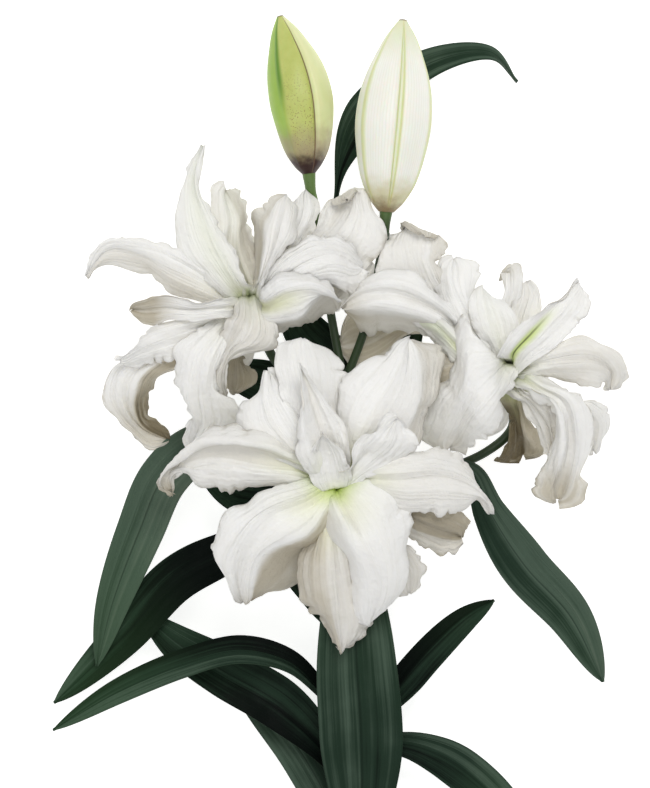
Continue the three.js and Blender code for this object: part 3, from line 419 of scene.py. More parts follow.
def stem_finish():
    """Dark green stem with fine lengthwise lines, its dark green painted shade below the buds, brighter
    stalks by the buds and a paler foot
    """
    f = Finish("green stem")
    up_stem = f.node("ShaderNodeSeparateXYZ", {0: f.where()}).outputs["Y"]
    body = f.paint(
        # Painted shade: dark green, except by the buds
        f.mix(f.spots(120, 3.0, (1, 0.15, 1)), STEM["dark"], STEM["patch"]),
        (f.fade(up_stem, 0.150, 0.178), STEM["by the buds"]),
        (f.fade(up_stem, -0.10, -0.28), STEM["foot"]),
        (f.fade(f.spots(900), 0.62, 0.75, 0.0, 0.5), STEM["pore"]))
    f.bump(f.spots(500, 3.0, (1, 0.06, 1)), 0.0005, 0.4)
    return f.finish(body, 0.45, Specular_IOR_Level=0.35)


# A bud's colours are laid out by the angle round it from its front seam, in degrees, and by its length
GREEN_BUD = {"left": (0.25, 0.42, 0.045), "left patch": (0.36, 0.52, 0.08),
             "panel": (0.44, 0.49, 0.11), "panel patch": (0.55, 0.60, 0.20),
             "right": (0.64, 0.69, 0.31), "right patch": (0.76, 0.79, 0.47),
             "rib": (0.12, 0.26, 0.03), "pale rib": (0.74, 0.76, 0.42), "speck": (0.20, 0.10, 0.045),
             "low": (0.34, 0.25, 0.18), "maroon": (0.035, 0.012, 0.011), "seam": (0.16, 0.09, 0.045),
             "tip": (0.10, 0.07, 0.04)}


def green_bud_finish():
    """Green bud: a darker rib, a speckled panel, a brown seam and a maroon base"""
    f = Finish("green bud")
    around, along = f.value("around"), f.value("along")
    low = f.plus(along, f.sway(f.spots(160, 3.0), 0.14))
    speck = f.times(f.fade(f.spots(1100, 1.0), 0.60, 0.68), f.fade(along, 0.75, 0.2, 0.0, 0.85),
                    f.fade(around, -58, -50), f.fade(around, 0.0, -4.0))
    body = f.paint(
        f.mix(f.spots(90), GREEN_BUD["left"], GREEN_BUD["left patch"]),
        (f.fade(around, -66, -52), f.mix(f.spots(140, 3.0), GREEN_BUD["panel"], GREEN_BUD["panel patch"])),
        (f.fade(around, -1.5, 1.5), f.mix(f.spots(80), GREEN_BUD["right"], GREEN_BUD["right patch"])),
        (f.times(f.near(around, -60, 11), f.fade(along, 0.35, 0.6)), GREEN_BUD["rib"]),
        (f.times(f.near(around, 11, 12), f.fade(along, 0.25, 0.5)), GREEN_BUD["pale rib"]),
        (speck, GREEN_BUD["speck"]),
        (f.fade(low, 0.34, 0.14, 0.0, 0.75), GREEN_BUD["low"]),
        (f.fade(low, 0.17, 0.05), GREEN_BUD["maroon"]),
        (f.near(around, 0, 2.6), GREEN_BUD["seam"]),
        (f.fade(along, 0.985, 1.0), GREEN_BUD["tip"]))
    f.bump(f.spots(600, 3.0, (1, 0.2, 1)), 0.0004, 0.35)
    return f.finish(body, 0.42, Subsurface_Weight=0.1, Subsurface_Scale=0.002, Specular_IOR_Level=0.4)


WHITE_BUD = {"cream": (0.86, 0.86, 0.77), "white": (0.91, 0.91, 0.86), "seam": (0.78, 0.80, 0.52),
             "rib": (0.62, 0.68, 0.28), "side": (0.66, 0.70, 0.42), "tip": (0.66, 0.71, 0.36),
             "low": (0.54, 0.49, 0.21), "base": (0.22, 0.14, 0.06), "vein": (0.66, 0.67, 0.50),
             "point": (0.12, 0.08, 0.04)}


def white_bud_finish():
    """Creamy white bud with yellow-green ribs and a brownish base"""
    f = Finish("white bud")
    around, along = f.value("around"), f.value("along")
    low = f.plus(along, f.sway(f.spots(200, 3.0), 0.10))
    seam_lips = f.plus(f.near(around, -3.4, 2.8), f.near(around, 3.4, 2.8))
    ribs = f.plus(f.near(around, -60, 9), f.near(around, 60, 9))
    vein_turns = f.times(f.plus(f.math("DIVIDE", around, 60.0), f.sway(f.spots(60), 0.04)), 12 * math.pi)
    veins = f.math("POWER", f.math("ABSOLUTE", f.math("COSINE", vein_turns)), 6.0)
    body = f.paint(
        f.mix(f.spots(70, 3.0), WHITE_BUD["cream"], WHITE_BUD["white"]),
        (f.times(f.near(around, 0, 12), 0.55), WHITE_BUD["seam"]),
        (f.times(seam_lips, 0.75), WHITE_BUD["rib"]),
        (f.times(ribs, 0.85), WHITE_BUD["rib"]),
        (f.fade(f.math("ABSOLUTE", around), 62, 90, 0.0, 0.5), WHITE_BUD["side"]),
        (f.fade(along, 0.72, 1.0, 0.0, 0.65), WHITE_BUD["tip"]),
        (f.fade(low, 0.22, 0.06, 0.0, 0.7), WHITE_BUD["low"]),
        (f.fade(low, 0.09, 0.0, 0.0, 0.9), WHITE_BUD["base"]),
        (f.times(veins, 0.18), WHITE_BUD["vein"]),
        (f.fade(along, 0.988, 1.0), WHITE_BUD["point"]))
    f.bump(f.plus(f.times(veins, 0.4), f.spots(500, 3.0, (1, 0.2, 1))), 0.0005, 0.35)
    return f.finish(body, 0.42, Subsurface_Weight=0.2, Subsurface_Scale=0.003, Specular_IOR_Level=0.4)


def table_finish():
    """Matt white table that glows a little, as a lit studio sheet does"""
    f = Finish("pale table")
    return f.finish((0.75, 0.75, 0.745), 0.8, Specular_IOR_Level=0.1, Emission_Strength=0.74,
                    Emission_Color=WHITE)


# Blades: petals and leaves

def half_width(shape, t):
    """Half width of a blade along its length: a narrow claw, a full middle, a pointed or blunt tip"""
    claw, narrow, swell, blunt = (shape[name] for name in ("claw", "narrow", "swell", "blunt"))
    base = claw + (1 - claw) * smooth((t - narrow) / (swell - narrow))
    beyond = np.maximum(t - swell, 0) / (1 - swell)
    taper = np.maximum(1 - beyond ** (1.8 + 2.2 * blunt), 0) ** (0.85 - 0.35 * blunt)
    return np.maximum(shape["half"] * base * taper, NARROWEST_HALF)


def slow_form(shape, t, s):
    """Slow waves along a blade's margins, its two sides out of step, less the soft groove along its middle"""
    turns = shape["waves"] * t + shape["phase"] + 0.3 * np.sign(s)
    return (shape["ruffle"] * smooth(t / 0.5) * np.abs(s) ** 2 * wave(turns)
            - shape["groove"] * smooth(t / 0.25) * hump(s, 0.3))


def blade_surface(points, first_side, shape, rows, columns, detail=None):
    """The middle surface of a blade as a grid of points, with its length and width shares.
    detail(t, s) gives a finer form: wider by a share, and moves along and toward the upper face."""
    stations, directions = follow(points, rows)
    sides = carry(directions, first_side)
    t, s = shares(rows, columns)
    wider, slide, lift = detail(t, s) if detail else np.zeros((3, rows + 1, columns + 1))
    width = half_width(shape, t) * (1 + wider)
    bend = np.radians(blend(shape["cup"], t))
    bend = np.where(np.abs(bend) < 0.01, 0.01, bend)
    sideways = width * np.sin(bend * s) / bend
    rise = width * (1 - np.cos(bend * s)) / bend + slow_form(shape, t, s) + lift
    roll = np.radians(blend(shape["roll"], t))
    turned = sides * np.cos(roll) + np.cross(directions, sides) * np.sin(roll)
    upper = np.cross(directions, turned)
    grid = (stations[:, None] + turned[:, None] * sideways[..., None] + upper[:, None] * rise[..., None]
            + directions[:, None] * slide[..., None])
    return grid, np.broadcast_to(t, grid.shape[:2]), np.broadcast_to(s, grid.shape[:2])


def waves(t, rng, low, high, count):
    """A sum of sine waves along a blade with seeded lengths and starts, about 1 high"""
    total = 0
    for frequency in np.linspace(low, high, count):
        total = total + wave(frequency * (t + 0.04 * rng.normal()) + rng.random())
    return total / math.sqrt(count)


# Heights in mm of the forms of a petal's blade, for a pleat of 1, and how many of those that add up
WRINKLES, WRINKLE_HEIGHT = 3, 0.55
SWELLS, SWELL_HEIGHT = 6, 0.75
FOLD_HEIGHT = 0.7
RIPPLE_HEIGHT = 0.14
MIDDLE_CREASE = 0.45
# Waves along a petal's margins: the lowest and the highest count over its length, and how many are summed
COARSE, FINE, TINY, CALM = (2.4, 4.6, 3), (7, 12, 4), (18, 27, 4), (0.8, 1.9, 2)


def wrinkles(t, s, rng):
    """Short crisp folds that fan out toward a petal's tip and come and go"""
    total = 0
    for _ in range(WRINKLES):
        count, lean = rng.uniform(3.5, 6.5), rng.uniform(-2.5, 2.5)
        bend = rng.uniform(0.15, 0.4) * wave(rng.uniform(0.8, 1.6) * t + rng.random())
        ridge = 1 - np.abs(np.sin(np.pi * (count * (s + bend * s) + lean * t + rng.random())))
        lively = smooth(wave(rng.uniform(1, 2) * t + rng.uniform(-0.8, 0.8) * s + rng.random()) + 0.3)
        total = total + WRINKLE_HEIGHT * lively * (ridge ** 2 - 0.35)
    return total


def petal_detail(rng, frill, pleat, half):
    """Crinkled margins with calm stretches, soft swells and folds over the blade and a crisp middle crease"""
    def margins(t, s, band):
        return np.where(s < 0, waves(t, rng, *band), waves(t, rng, *band))

    def detail(t, s):
        edge = np.abs(s)
        out = smooth((t - 0.12) / 0.35)
        t = t + 0.035 * wave(1.4 * t + rng.random()) + 0.012 * wave(4.3 * t + rng.random())
        coarse, fine, tiny = (margins(t, s, band) for band in (COARSE, FINE, TINY))
        lively = smooth(0.55 + 0.6 * margins(t, s, CALM))
        lift = frill * out * (1.7 * coarse * edge ** 3
                              + lively * (1.3 * fine * edge ** 6 + 0.5 * tiny * edge ** 10))
        for _ in range(SWELLS):
            swell = wave(rng.uniform(0.4, 2.2) * t + rng.uniform(-1.4, 1.4) * s / 2 + rng.random())
            lift = lift + SWELL_HEIGHT * pleat * out * swell
        folds = np.cos(np.pi * (2.2 + 1.4 * rng.random()) * s + 2 * np.pi * rng.random()
                       + 0.8 * rng.normal() * t)
        lift = lift + FOLD_HEIGHT * pleat * smooth(t / 0.3) * (1 - 0.35 * t) * folds * (1 - 0.6 * edge ** 2)
        lift = lift + RIPPLE_HEIGHT * pleat * smooth(t / 0.2) * np.cos(np.pi * 7.5 * s) * (1 - edge ** 2)
        lift = lift - MIDDLE_CREASE * smooth(t / 0.12) * (1 - smooth((t - 0.55) / 0.4)) * hump(s, 0.07)
        lift = lift + wrinkles(t, s, rng) * pleat * smooth((t - 0.15) / 0.3) * (0.25 + 0.75 * edge)
        late_coarse, late_fine = np.roll(coarse, 3, axis=0), np.roll(fine, 2, axis=0)
        slide = frill * out * edge ** 4 * (1.2 * late_coarse + 0.6 * lively * late_fine)
        wider = frill * out * lively * (0.026 * fine + 0.016 * tiny) * np.minimum(1, 14 / half)
        return wider, slide, lift
    return detail


# Blooms
#
# A petal is drawn by lines of points of the plan grid: its middle, its two margins and any folds. Its claw
# leaves the heart at rise up the heart's axis and at reach out from it. Its margins wave by ruffle, from
# phase on, its middle lies groove deep, and pleat scales its folds. Painted shade: the length share from
# which it is painted beige as shade, and how strongly; turned lists strips of painted beige shade: a side,
# the width share where the strip starts, and how strongly, with a start of -1.2 for the whole petal. What is
# left are shares of a tint, where cream paints the underside beige as painted shade.
USUAL_PETAL = {"reach": 3.4, "groove": 1.2, "waves": 2.2, "streak": 0.0, "cream": 0.15, "glow": 1.0,
               "pleat": 0.75, "green": 0.0, "rim": 0.15, "tan": [1.0, 0.0], "turned": []}
HIDDEN_PETAL = {"claw": 0.28, "narrow": 0, "swell": 0.4, "blunt": 0.4, "cup": [50, -10, -30],
                "roll": [0, 0, 0]}


def petal(rise, ruffle, phase, **more):
    """A petal drawn by its middle, its two margins and any folds, with what differs in its looks"""
    return {**USUAL_PETAL, "rise": rise, "ruffle": ruffle, "phase": phase, **more}


def hidden_petal(rise, ruffle, phase, **more):
    """A petal at the back of a bloom, drawn by its middle and its half width"""
    return petal(rise, ruffle, phase, **HIDDEN_PETAL, **more)


CENTRE_PETALS = [
    petal(26, 0.4, 0.1, reach=-2.0,
          middle=[[332, 474, 110], [328, 455, 118], [322, 433, 126]],
          left=[[310, 478, 110], [308, 456, 122], [320, 432, 128]],
          right=[[352, 474, 110], [345, 452, 122], [324, 432, 128]]),
    petal(24, 0.6, 0.3,
          middle=[[327, 455, 112], [319, 425, 120], [311, 396, 125], [299, 363, 126]],
          left_fold=[[313, 458, 120], [305, 431, 130], [303, 400, 134], [298, 363, 129]],
          left=[[304, 462, 116], [297, 437, 120], [300, 404, 121], [297, 362, 126]],
          right=[[350, 458, 118], [346, 432, 121], [324, 397, 126], [300, 363, 128]]),
    petal(18, 1.2, 0.6,
          middle=[[325, 448, 103], [316, 410, 110], [308, 370, 108], [303, 338, 98]],
          left=[[303, 450, 105], [287, 412, 110], [274, 366, 104], [277, 335, 94]],
          right=[[343, 448, 103], [346, 410, 104], [344, 372, 100], [329, 343, 93]]),
    petal(20, 1.0, 0.2,
          middle=[[308, 458, 108], [286, 428, 114], [272, 400, 110], [268, 371, 100]],
          left=[[298, 470, 107], [262, 452, 105], [234, 432, 97], [240, 411, 96], [259, 395, 97],
                [264, 376, 96]],
          right=[[320, 450, 104], [306, 416, 106], [290, 388, 102], [274, 368, 97]]),
    petal(20, 1.2, 0.4, turned=[(-1, 0.5, 0.55)],
          middle=[[356, 453, 106], [382, 418, 114], [402, 384, 111], [410, 339, 98]],
          right_fold=[[370, 455, 107], [400, 436, 108], [420, 404, 106], [421, 374, 101], [413, 341, 96]],
          left=[[342, 458, 107], [337, 420, 110], [342, 380, 108], [374, 358, 104], [405, 336, 97]],
          right=[[380, 462, 98], [420, 442, 91], [431, 410, 89], [443, 380, 87], [441, 350, 85],
                 [427, 346, 90]]),
    petal(24, 1.4, 0.8,
          middle=[[358, 468, 114], [374, 449, 122], [388, 432, 128], [398, 418, 130]],
          left=[[348, 468, 118], [356, 441, 122], [374, 427, 126], [391, 412, 128]],
          right=[[372, 474, 110], [398, 462, 112], [416, 447, 115], [407, 420, 126]]),
    petal(20, 0.7, 0.5, turned=[(1, -1.2, 0.22)], pleat=1.0,
          middle=[[365, 480, 109], [402, 482, 116], [440, 480, 111], [470, 487, 101], [486, 499, 95],
                  [491, 514, 87]],
          left=[[362, 468, 108], [394, 459, 110], [430, 450, 106], [458, 456, 98], [477, 476, 92],
                [483, 496, 91], [495, 507, 86]],
          right=[[367, 496, 104], [405, 511, 104], [440, 511, 98], [462, 509, 90], [476, 500, 90],
                 [482, 508, 87], [488, 522, 82]]),
    petal(14, 1.4, 0.1, tan=[0.1, 0.55], turned=[(1, -0.4, 0.85)], rim=0.8, pleat=1.5,
          middle=[[366, 500, 95], [400, 516, 96], [432, 530, 88], [462, 538, 74]],
          left=[[368, 490, 97], [408, 502, 98], [444, 507, 94], [466, 515, 84], [470, 530, 76]],
          right=[[366, 512, 90], [394, 534, 84], [418, 547, 74], [440, 553, 68], [460, 549, 68]]),
    petal(22, 1.3, 0.7,
          middle=[[345, 505, 112], [365, 542, 119], [379, 578, 113], [378, 602, 102], [370, 624, 84]],
          right_fold=[[334, 506, 112], [347, 532, 117], [356, 558, 113], [362, 584, 105], [363, 605, 95],
                      [366, 625, 82]],
          left=[[366, 474, 106], [402, 486, 106], [409, 515, 103], [407, 550, 101], [405, 583, 94],
                [395, 600, 88], [380, 618, 80]],
          right=[[322, 508, 98], [331, 536, 94], [338, 558, 90], [348, 582, 88], [353, 604, 86],
                 [362, 623, 80]]),
    petal(14, 1.0, 0.3, tan=[0.2, 0.45], rim=0.4,
          middle=[[362, 508, 92], [390, 545, 91], [406, 572, 83], [409, 594, 74]],
          left=[[374, 500, 92], [404, 538, 88], [421, 562, 78], [420, 594, 70]],
          right=[[352, 516, 88], [372, 558, 86], [384, 590, 76], [397, 603, 70]]),
    petal(18, 1.0, 0.9, pleat=1.7, tan=[0.0, 0.45], turned=[(-1, 0.1, 0.45)], rim=0.6,
          middle=[[330, 516, 98], [332, 560, 100], [337, 606, 91], [342, 653, 74]],
          left=[[344, 520, 94], [354, 560, 93], [370, 596, 80], [377, 618, 73], [360, 640, 71],
                [346, 655, 70]],
          right=[[318, 522, 92], [301, 552, 88], [302, 586, 84], [313, 618, 78], [332, 647, 72],
                 [340, 654, 71]]),
    petal(21, 1.2, 0.2, reach=0.5, turned=[(1, 0.45, 1.05)], tan=[0.84, 0.9], rim=0.35, pleat=1.0,
          middle=[[312, 502, 108], [280, 519, 117], [252, 546, 112], [240, 576, 97], [244, 603, 80]],
          left_fold=[[326, 510, 108], [312, 531, 110], [288, 544, 110], [266, 558, 106], [256, 580, 95],
                     [251, 603, 78]],
          left=[[338, 524, 82], [328, 548, 68], [309, 569, 59], [286, 586, 58], [268, 591, 62],
                [260, 598, 68], [259, 604, 72]],
          right=[[300, 480, 108], [262, 490, 112], [234, 508, 108], [222, 530, 102], [212, 555, 94],
                 [228, 573, 92], [230, 590, 87], [232, 605, 78]]),
    petal(18, 1.7, 0.5, pleat=1.7, tan=[0.8, 1.0], turned=[(1, -1.2, 0.15)], rim=0.5,
          middle=[[302, 470, 106], [262, 460, 109], [226, 453, 104], [196, 457, 95], [175, 468, 90],
                  [164, 482, 85], [170, 498, 78]],
          left_fold=[[302, 478, 107], [264, 474, 113], [232, 471, 108], [205, 469, 98], [184, 472, 93],
                     [170, 484, 87], [172, 499, 77]],
          right_fold=[[303, 462, 110], [268, 448, 117], [232, 443, 113], [203, 443, 105], [184, 455, 99],
                      [166, 470, 92], [160, 483, 86], [168, 498, 78]],
          left=[[302, 486, 101], [265, 487, 100], [238, 489, 93], [213, 482, 88], [192, 472, 87],
                [178, 479, 86], [176, 490, 82], [174, 500, 77]],
          right=[[303, 455, 104], [272, 437, 104], [238, 433, 102], [210, 430, 97], [194, 440, 93],
                 [181, 452, 92], [167, 465, 89], [156, 480, 84], [166, 497, 77]]),
    hidden_petal(8, 1.5, 0.4, half=17, route=[[350, 458, 88], [372, 424, 84], [388, 396, 70]]),
    hidden_petal(8, 1.5, 0.1, half=14, route=[[355, 510, 86], [376, 538, 80], [388, 566, 68]]),
]
LEFT_PETALS = [
    petal(20, 0.6, 0.2, turned=[(1, 0.1, 0.35)],
          middle=[[222, 292, 90], [180, 268, 99], [140, 252, 96], [108, 250, 89], [86, 276, 78]],
          left=[[226, 306, 86], [190, 300, 88], [162, 290, 86], [150, 277, 83], [128, 268, 80],
                [108, 263, 78], [92, 268, 76], [85, 279, 76]],
          right=[[222, 274, 92], [184, 254, 98], [158, 241, 94], [130, 238, 92], [106, 239, 86],
                 [92, 252, 80], [83, 276, 76]]),
    petal(24, 0.8, 0.5, green=0.35,
          middle=[[232, 282, 97], [212, 248, 105], [198, 210, 104], [193, 180, 97], [203, 146, 84]],
          left=[[216, 290, 94], [188, 264, 97], [175, 236, 96], [178, 200, 94], [185, 170, 90],
                [201, 147, 83]],
          right=[[246, 282, 96], [236, 256, 98], [220, 226, 98], [206, 196, 94], [199, 168, 90],
                 [204, 146, 83]]),
    petal(18, 0.8, 0.7, groove=2.6, green=0.2, turned=[(-1, 0.15, 0.4), (1, -1.2, 0.15)],
          middle=[[246, 284, 86], [233, 250, 93], [233, 218, 90], [226, 188, 82]],
          right_fold=[[252, 284, 84], [243, 250, 90], [240, 218, 87], [230, 188, 80]],
          left=[[238, 280, 88], [220, 244, 90], [210, 214, 88], [210, 194, 81], [217, 180, 76]],
          right=[[256, 287, 70], [259, 252, 60], [251, 222, 58], [241, 201, 62], [229, 186, 71]]),
    petal(22, 1.0, 0.1, turned=[(1, 0.5, 0.6), (1, -1.2, 0.12)],
          middle=[[258, 281, 97], [270, 248, 103], [278, 220, 99], [286, 194, 86]],
          left_fold=[[256, 282, 94], [264, 250, 99], [267, 224, 95], [274, 203, 89], [284, 193, 83]],
          left=[[250, 284, 78], [256, 252, 68], [254, 225, 64], [262, 202, 67], [280, 191, 76]],
          right=[[266, 282, 98], [284, 251, 98], [298, 226, 92], [298, 205, 85], [290, 193, 82]]),
    petal(16, 1.0, 0.4,
          middle=[[270, 285, 84], [290, 248, 87], [304, 215, 82], [307, 188, 70]],
          left=[[262, 284, 86], [278, 248, 88], [291, 213, 84], [294, 190, 74]],
          right=[[277, 292, 80], [302, 258, 80], [315, 225, 76], [317, 194, 66]]),
    petal(22, 0.7, 0.6, streak=0.55, turned=[(-1, 0.5, 0.5)],
          middle=[[268, 308, 97], [290, 298, 108], [314, 293, 107], [340, 302, 93]],
          right_fold=[[268, 320, 92], [286, 320, 97], [303, 316, 101], [315, 304, 101], [325, 293, 99],
                      [339, 299, 92]],
          left=[[262, 294, 96], [280, 275, 100], [305, 271, 100], [328, 280, 96], [342, 300, 90]],
          right=[[268, 331, 72], [291, 332, 68], [313, 321, 66], [332, 312, 69], [343, 306, 80]]),
    petal(18, 1.2, 0.3,
          middle=[[270, 294, 92], [298, 268, 99], [332, 256, 96], [364, 268, 84]],
          left=[[262, 282, 92], [284, 252, 94], [312, 237, 92], [345, 242, 86], [371, 262, 80]],
          right=[[278, 308, 88], [308, 288, 92], [336, 288, 90], [357, 296, 80], [367, 282, 78]]),
    petal(22, 0.5, 0.2, tan=[0.62, 1.1], rim=0.6,
          middle=[[228, 308, 94], [196, 310, 98], [165, 309, 97], [144, 312, 90], [131, 310, 82]],
          left=[[226, 318, 94], [196, 320, 100], [170, 321, 98], [152, 326, 90], [134, 320, 82]],
          right=[[228, 298, 94], [198, 302, 104], [168, 294, 103], [148, 299, 96], [130, 303, 84]]),
    petal(16, 1.2, 0.3, cream=0.6,
          middle=[[212, 326, 86], [180, 334, 95], [148, 345, 94], [120, 361, 80]],
          left=[[210, 342, 82], [188, 352, 87], [165, 357, 84], [142, 365, 78], [120, 371, 72]],
          right=[[212, 312, 88], [178, 320, 94], [145, 329, 90], [128, 352, 82], [112, 359, 74]]),
    petal(12, 1.4, 0.8, turned=[(1, 0.25, 1.15)], tan=[0.62, 0.7], cream=0.9, pleat=1.4, rim=0.6,
          middle=[[202, 342, 78], [162, 356, 77], [132, 376, 70], [128, 406, 60], [144, 430, 50],
                  [168, 440, 42]],
          left=[[206, 354, 74], [180, 368, 78], [163, 375, 74], [154, 390, 54], [149, 410, 46],
                [158, 428, 43], [172, 437, 40]],
          right=[[190, 330, 76], [142, 350, 72], [111, 370, 64], [108, 394, 54], [124, 423, 49],
                 [148, 445, 43], [171, 446, 40]]),
    petal(18, 1.4, 0.5, cream=0.5,
          middle=[[222, 332, 90], [204, 362, 97], [199, 396, 90], [202, 428, 76], [191, 448, 63]],
          left=[[234, 334, 88], [222, 364, 90], [224, 392, 82], [240, 412, 74], [236, 430, 68],
                [213, 435, 64], [197, 447, 62]],
          right=[[208, 322, 88], [180, 346, 92], [176, 382, 84], [188, 416, 74], [183, 438, 64],
                 [184, 450, 60]]),
    petal(25, 0.9, 0.1, reach=-3.5, tan=[0.2, 0.45], cream=0.8, rim=0.5, pleat=1.0,
          middle=[[252, 328, 98], [244, 342, 100], [229, 353, 96], [221, 374, 88], [226, 398, 73]],
          left=[[272, 324, 90], [277, 338, 89], [271, 349, 88], [250, 352, 92], [232, 361, 93],
                [226, 380, 86], [228, 397, 72]],
          right=[[232, 318, 94], [220, 332, 92], [215, 356, 86], [215, 382, 78], [225, 400, 70]]),
    petal(10, 0.8, 0.4, groove=0.0, tan=[0.1, 1.3], cream=0.6, glow=0.3,
          middle=[[244, 340, 74], [234, 366, 62], [236, 394, 54]],
          left=[[248, 345, 68], [241, 361, 60], [257, 373, 55], [255, 388, 50]],
          right=[[228, 342, 84], [219, 370, 80], [227, 397, 64]]),
    petal(14, 1.4, 0.6, turned=[(1, -1.2, 0.15)], tan=[0.8, 0.4], rim=0.5,
          middle=[[286, 296, 76], [314, 260, 84], [339, 231, 84], [351, 208, 78], [353, 191, 76],
                  [348, 200, 86]],
          left_fold=[[280, 290, 78], [306, 254, 80], [328, 228, 77], [337, 212, 73], [343, 197, 70],
                     [340, 206, 82]],
          left=[[272, 284, 76], [296, 250, 82], [316, 225, 82], [322, 209, 77], [330, 199, 72],
                [332, 208, 82]],
          right=[[294, 312, 72], [330, 288, 76], [372, 264, 77], [388, 238, 79], [382, 219, 80],
                 [369, 208, 77], [359, 193, 74], [355, 203, 85]]),
    petal(10, 1.2, 0.2,
          middle=[[290, 312, 66], [325, 290, 72], [352, 274, 74], [374, 262, 70]],
          left=[[286, 298, 68], [318, 272, 72], [350, 250, 74], [380, 242, 70]],
          right=[[294, 326, 62], [328, 310, 66], [356, 296, 68], [374, 279, 66]]),
    hidden_petal(6, 1.2, 0.9, half=16, route=[[243, 300, 50], [222, 268, 28], [206, 238, -2]]),
    hidden_petal(6, 1.2, 0.3, half=15, route=[[236, 342, 52], [216, 364, 42], [202, 388, 26]]),
]
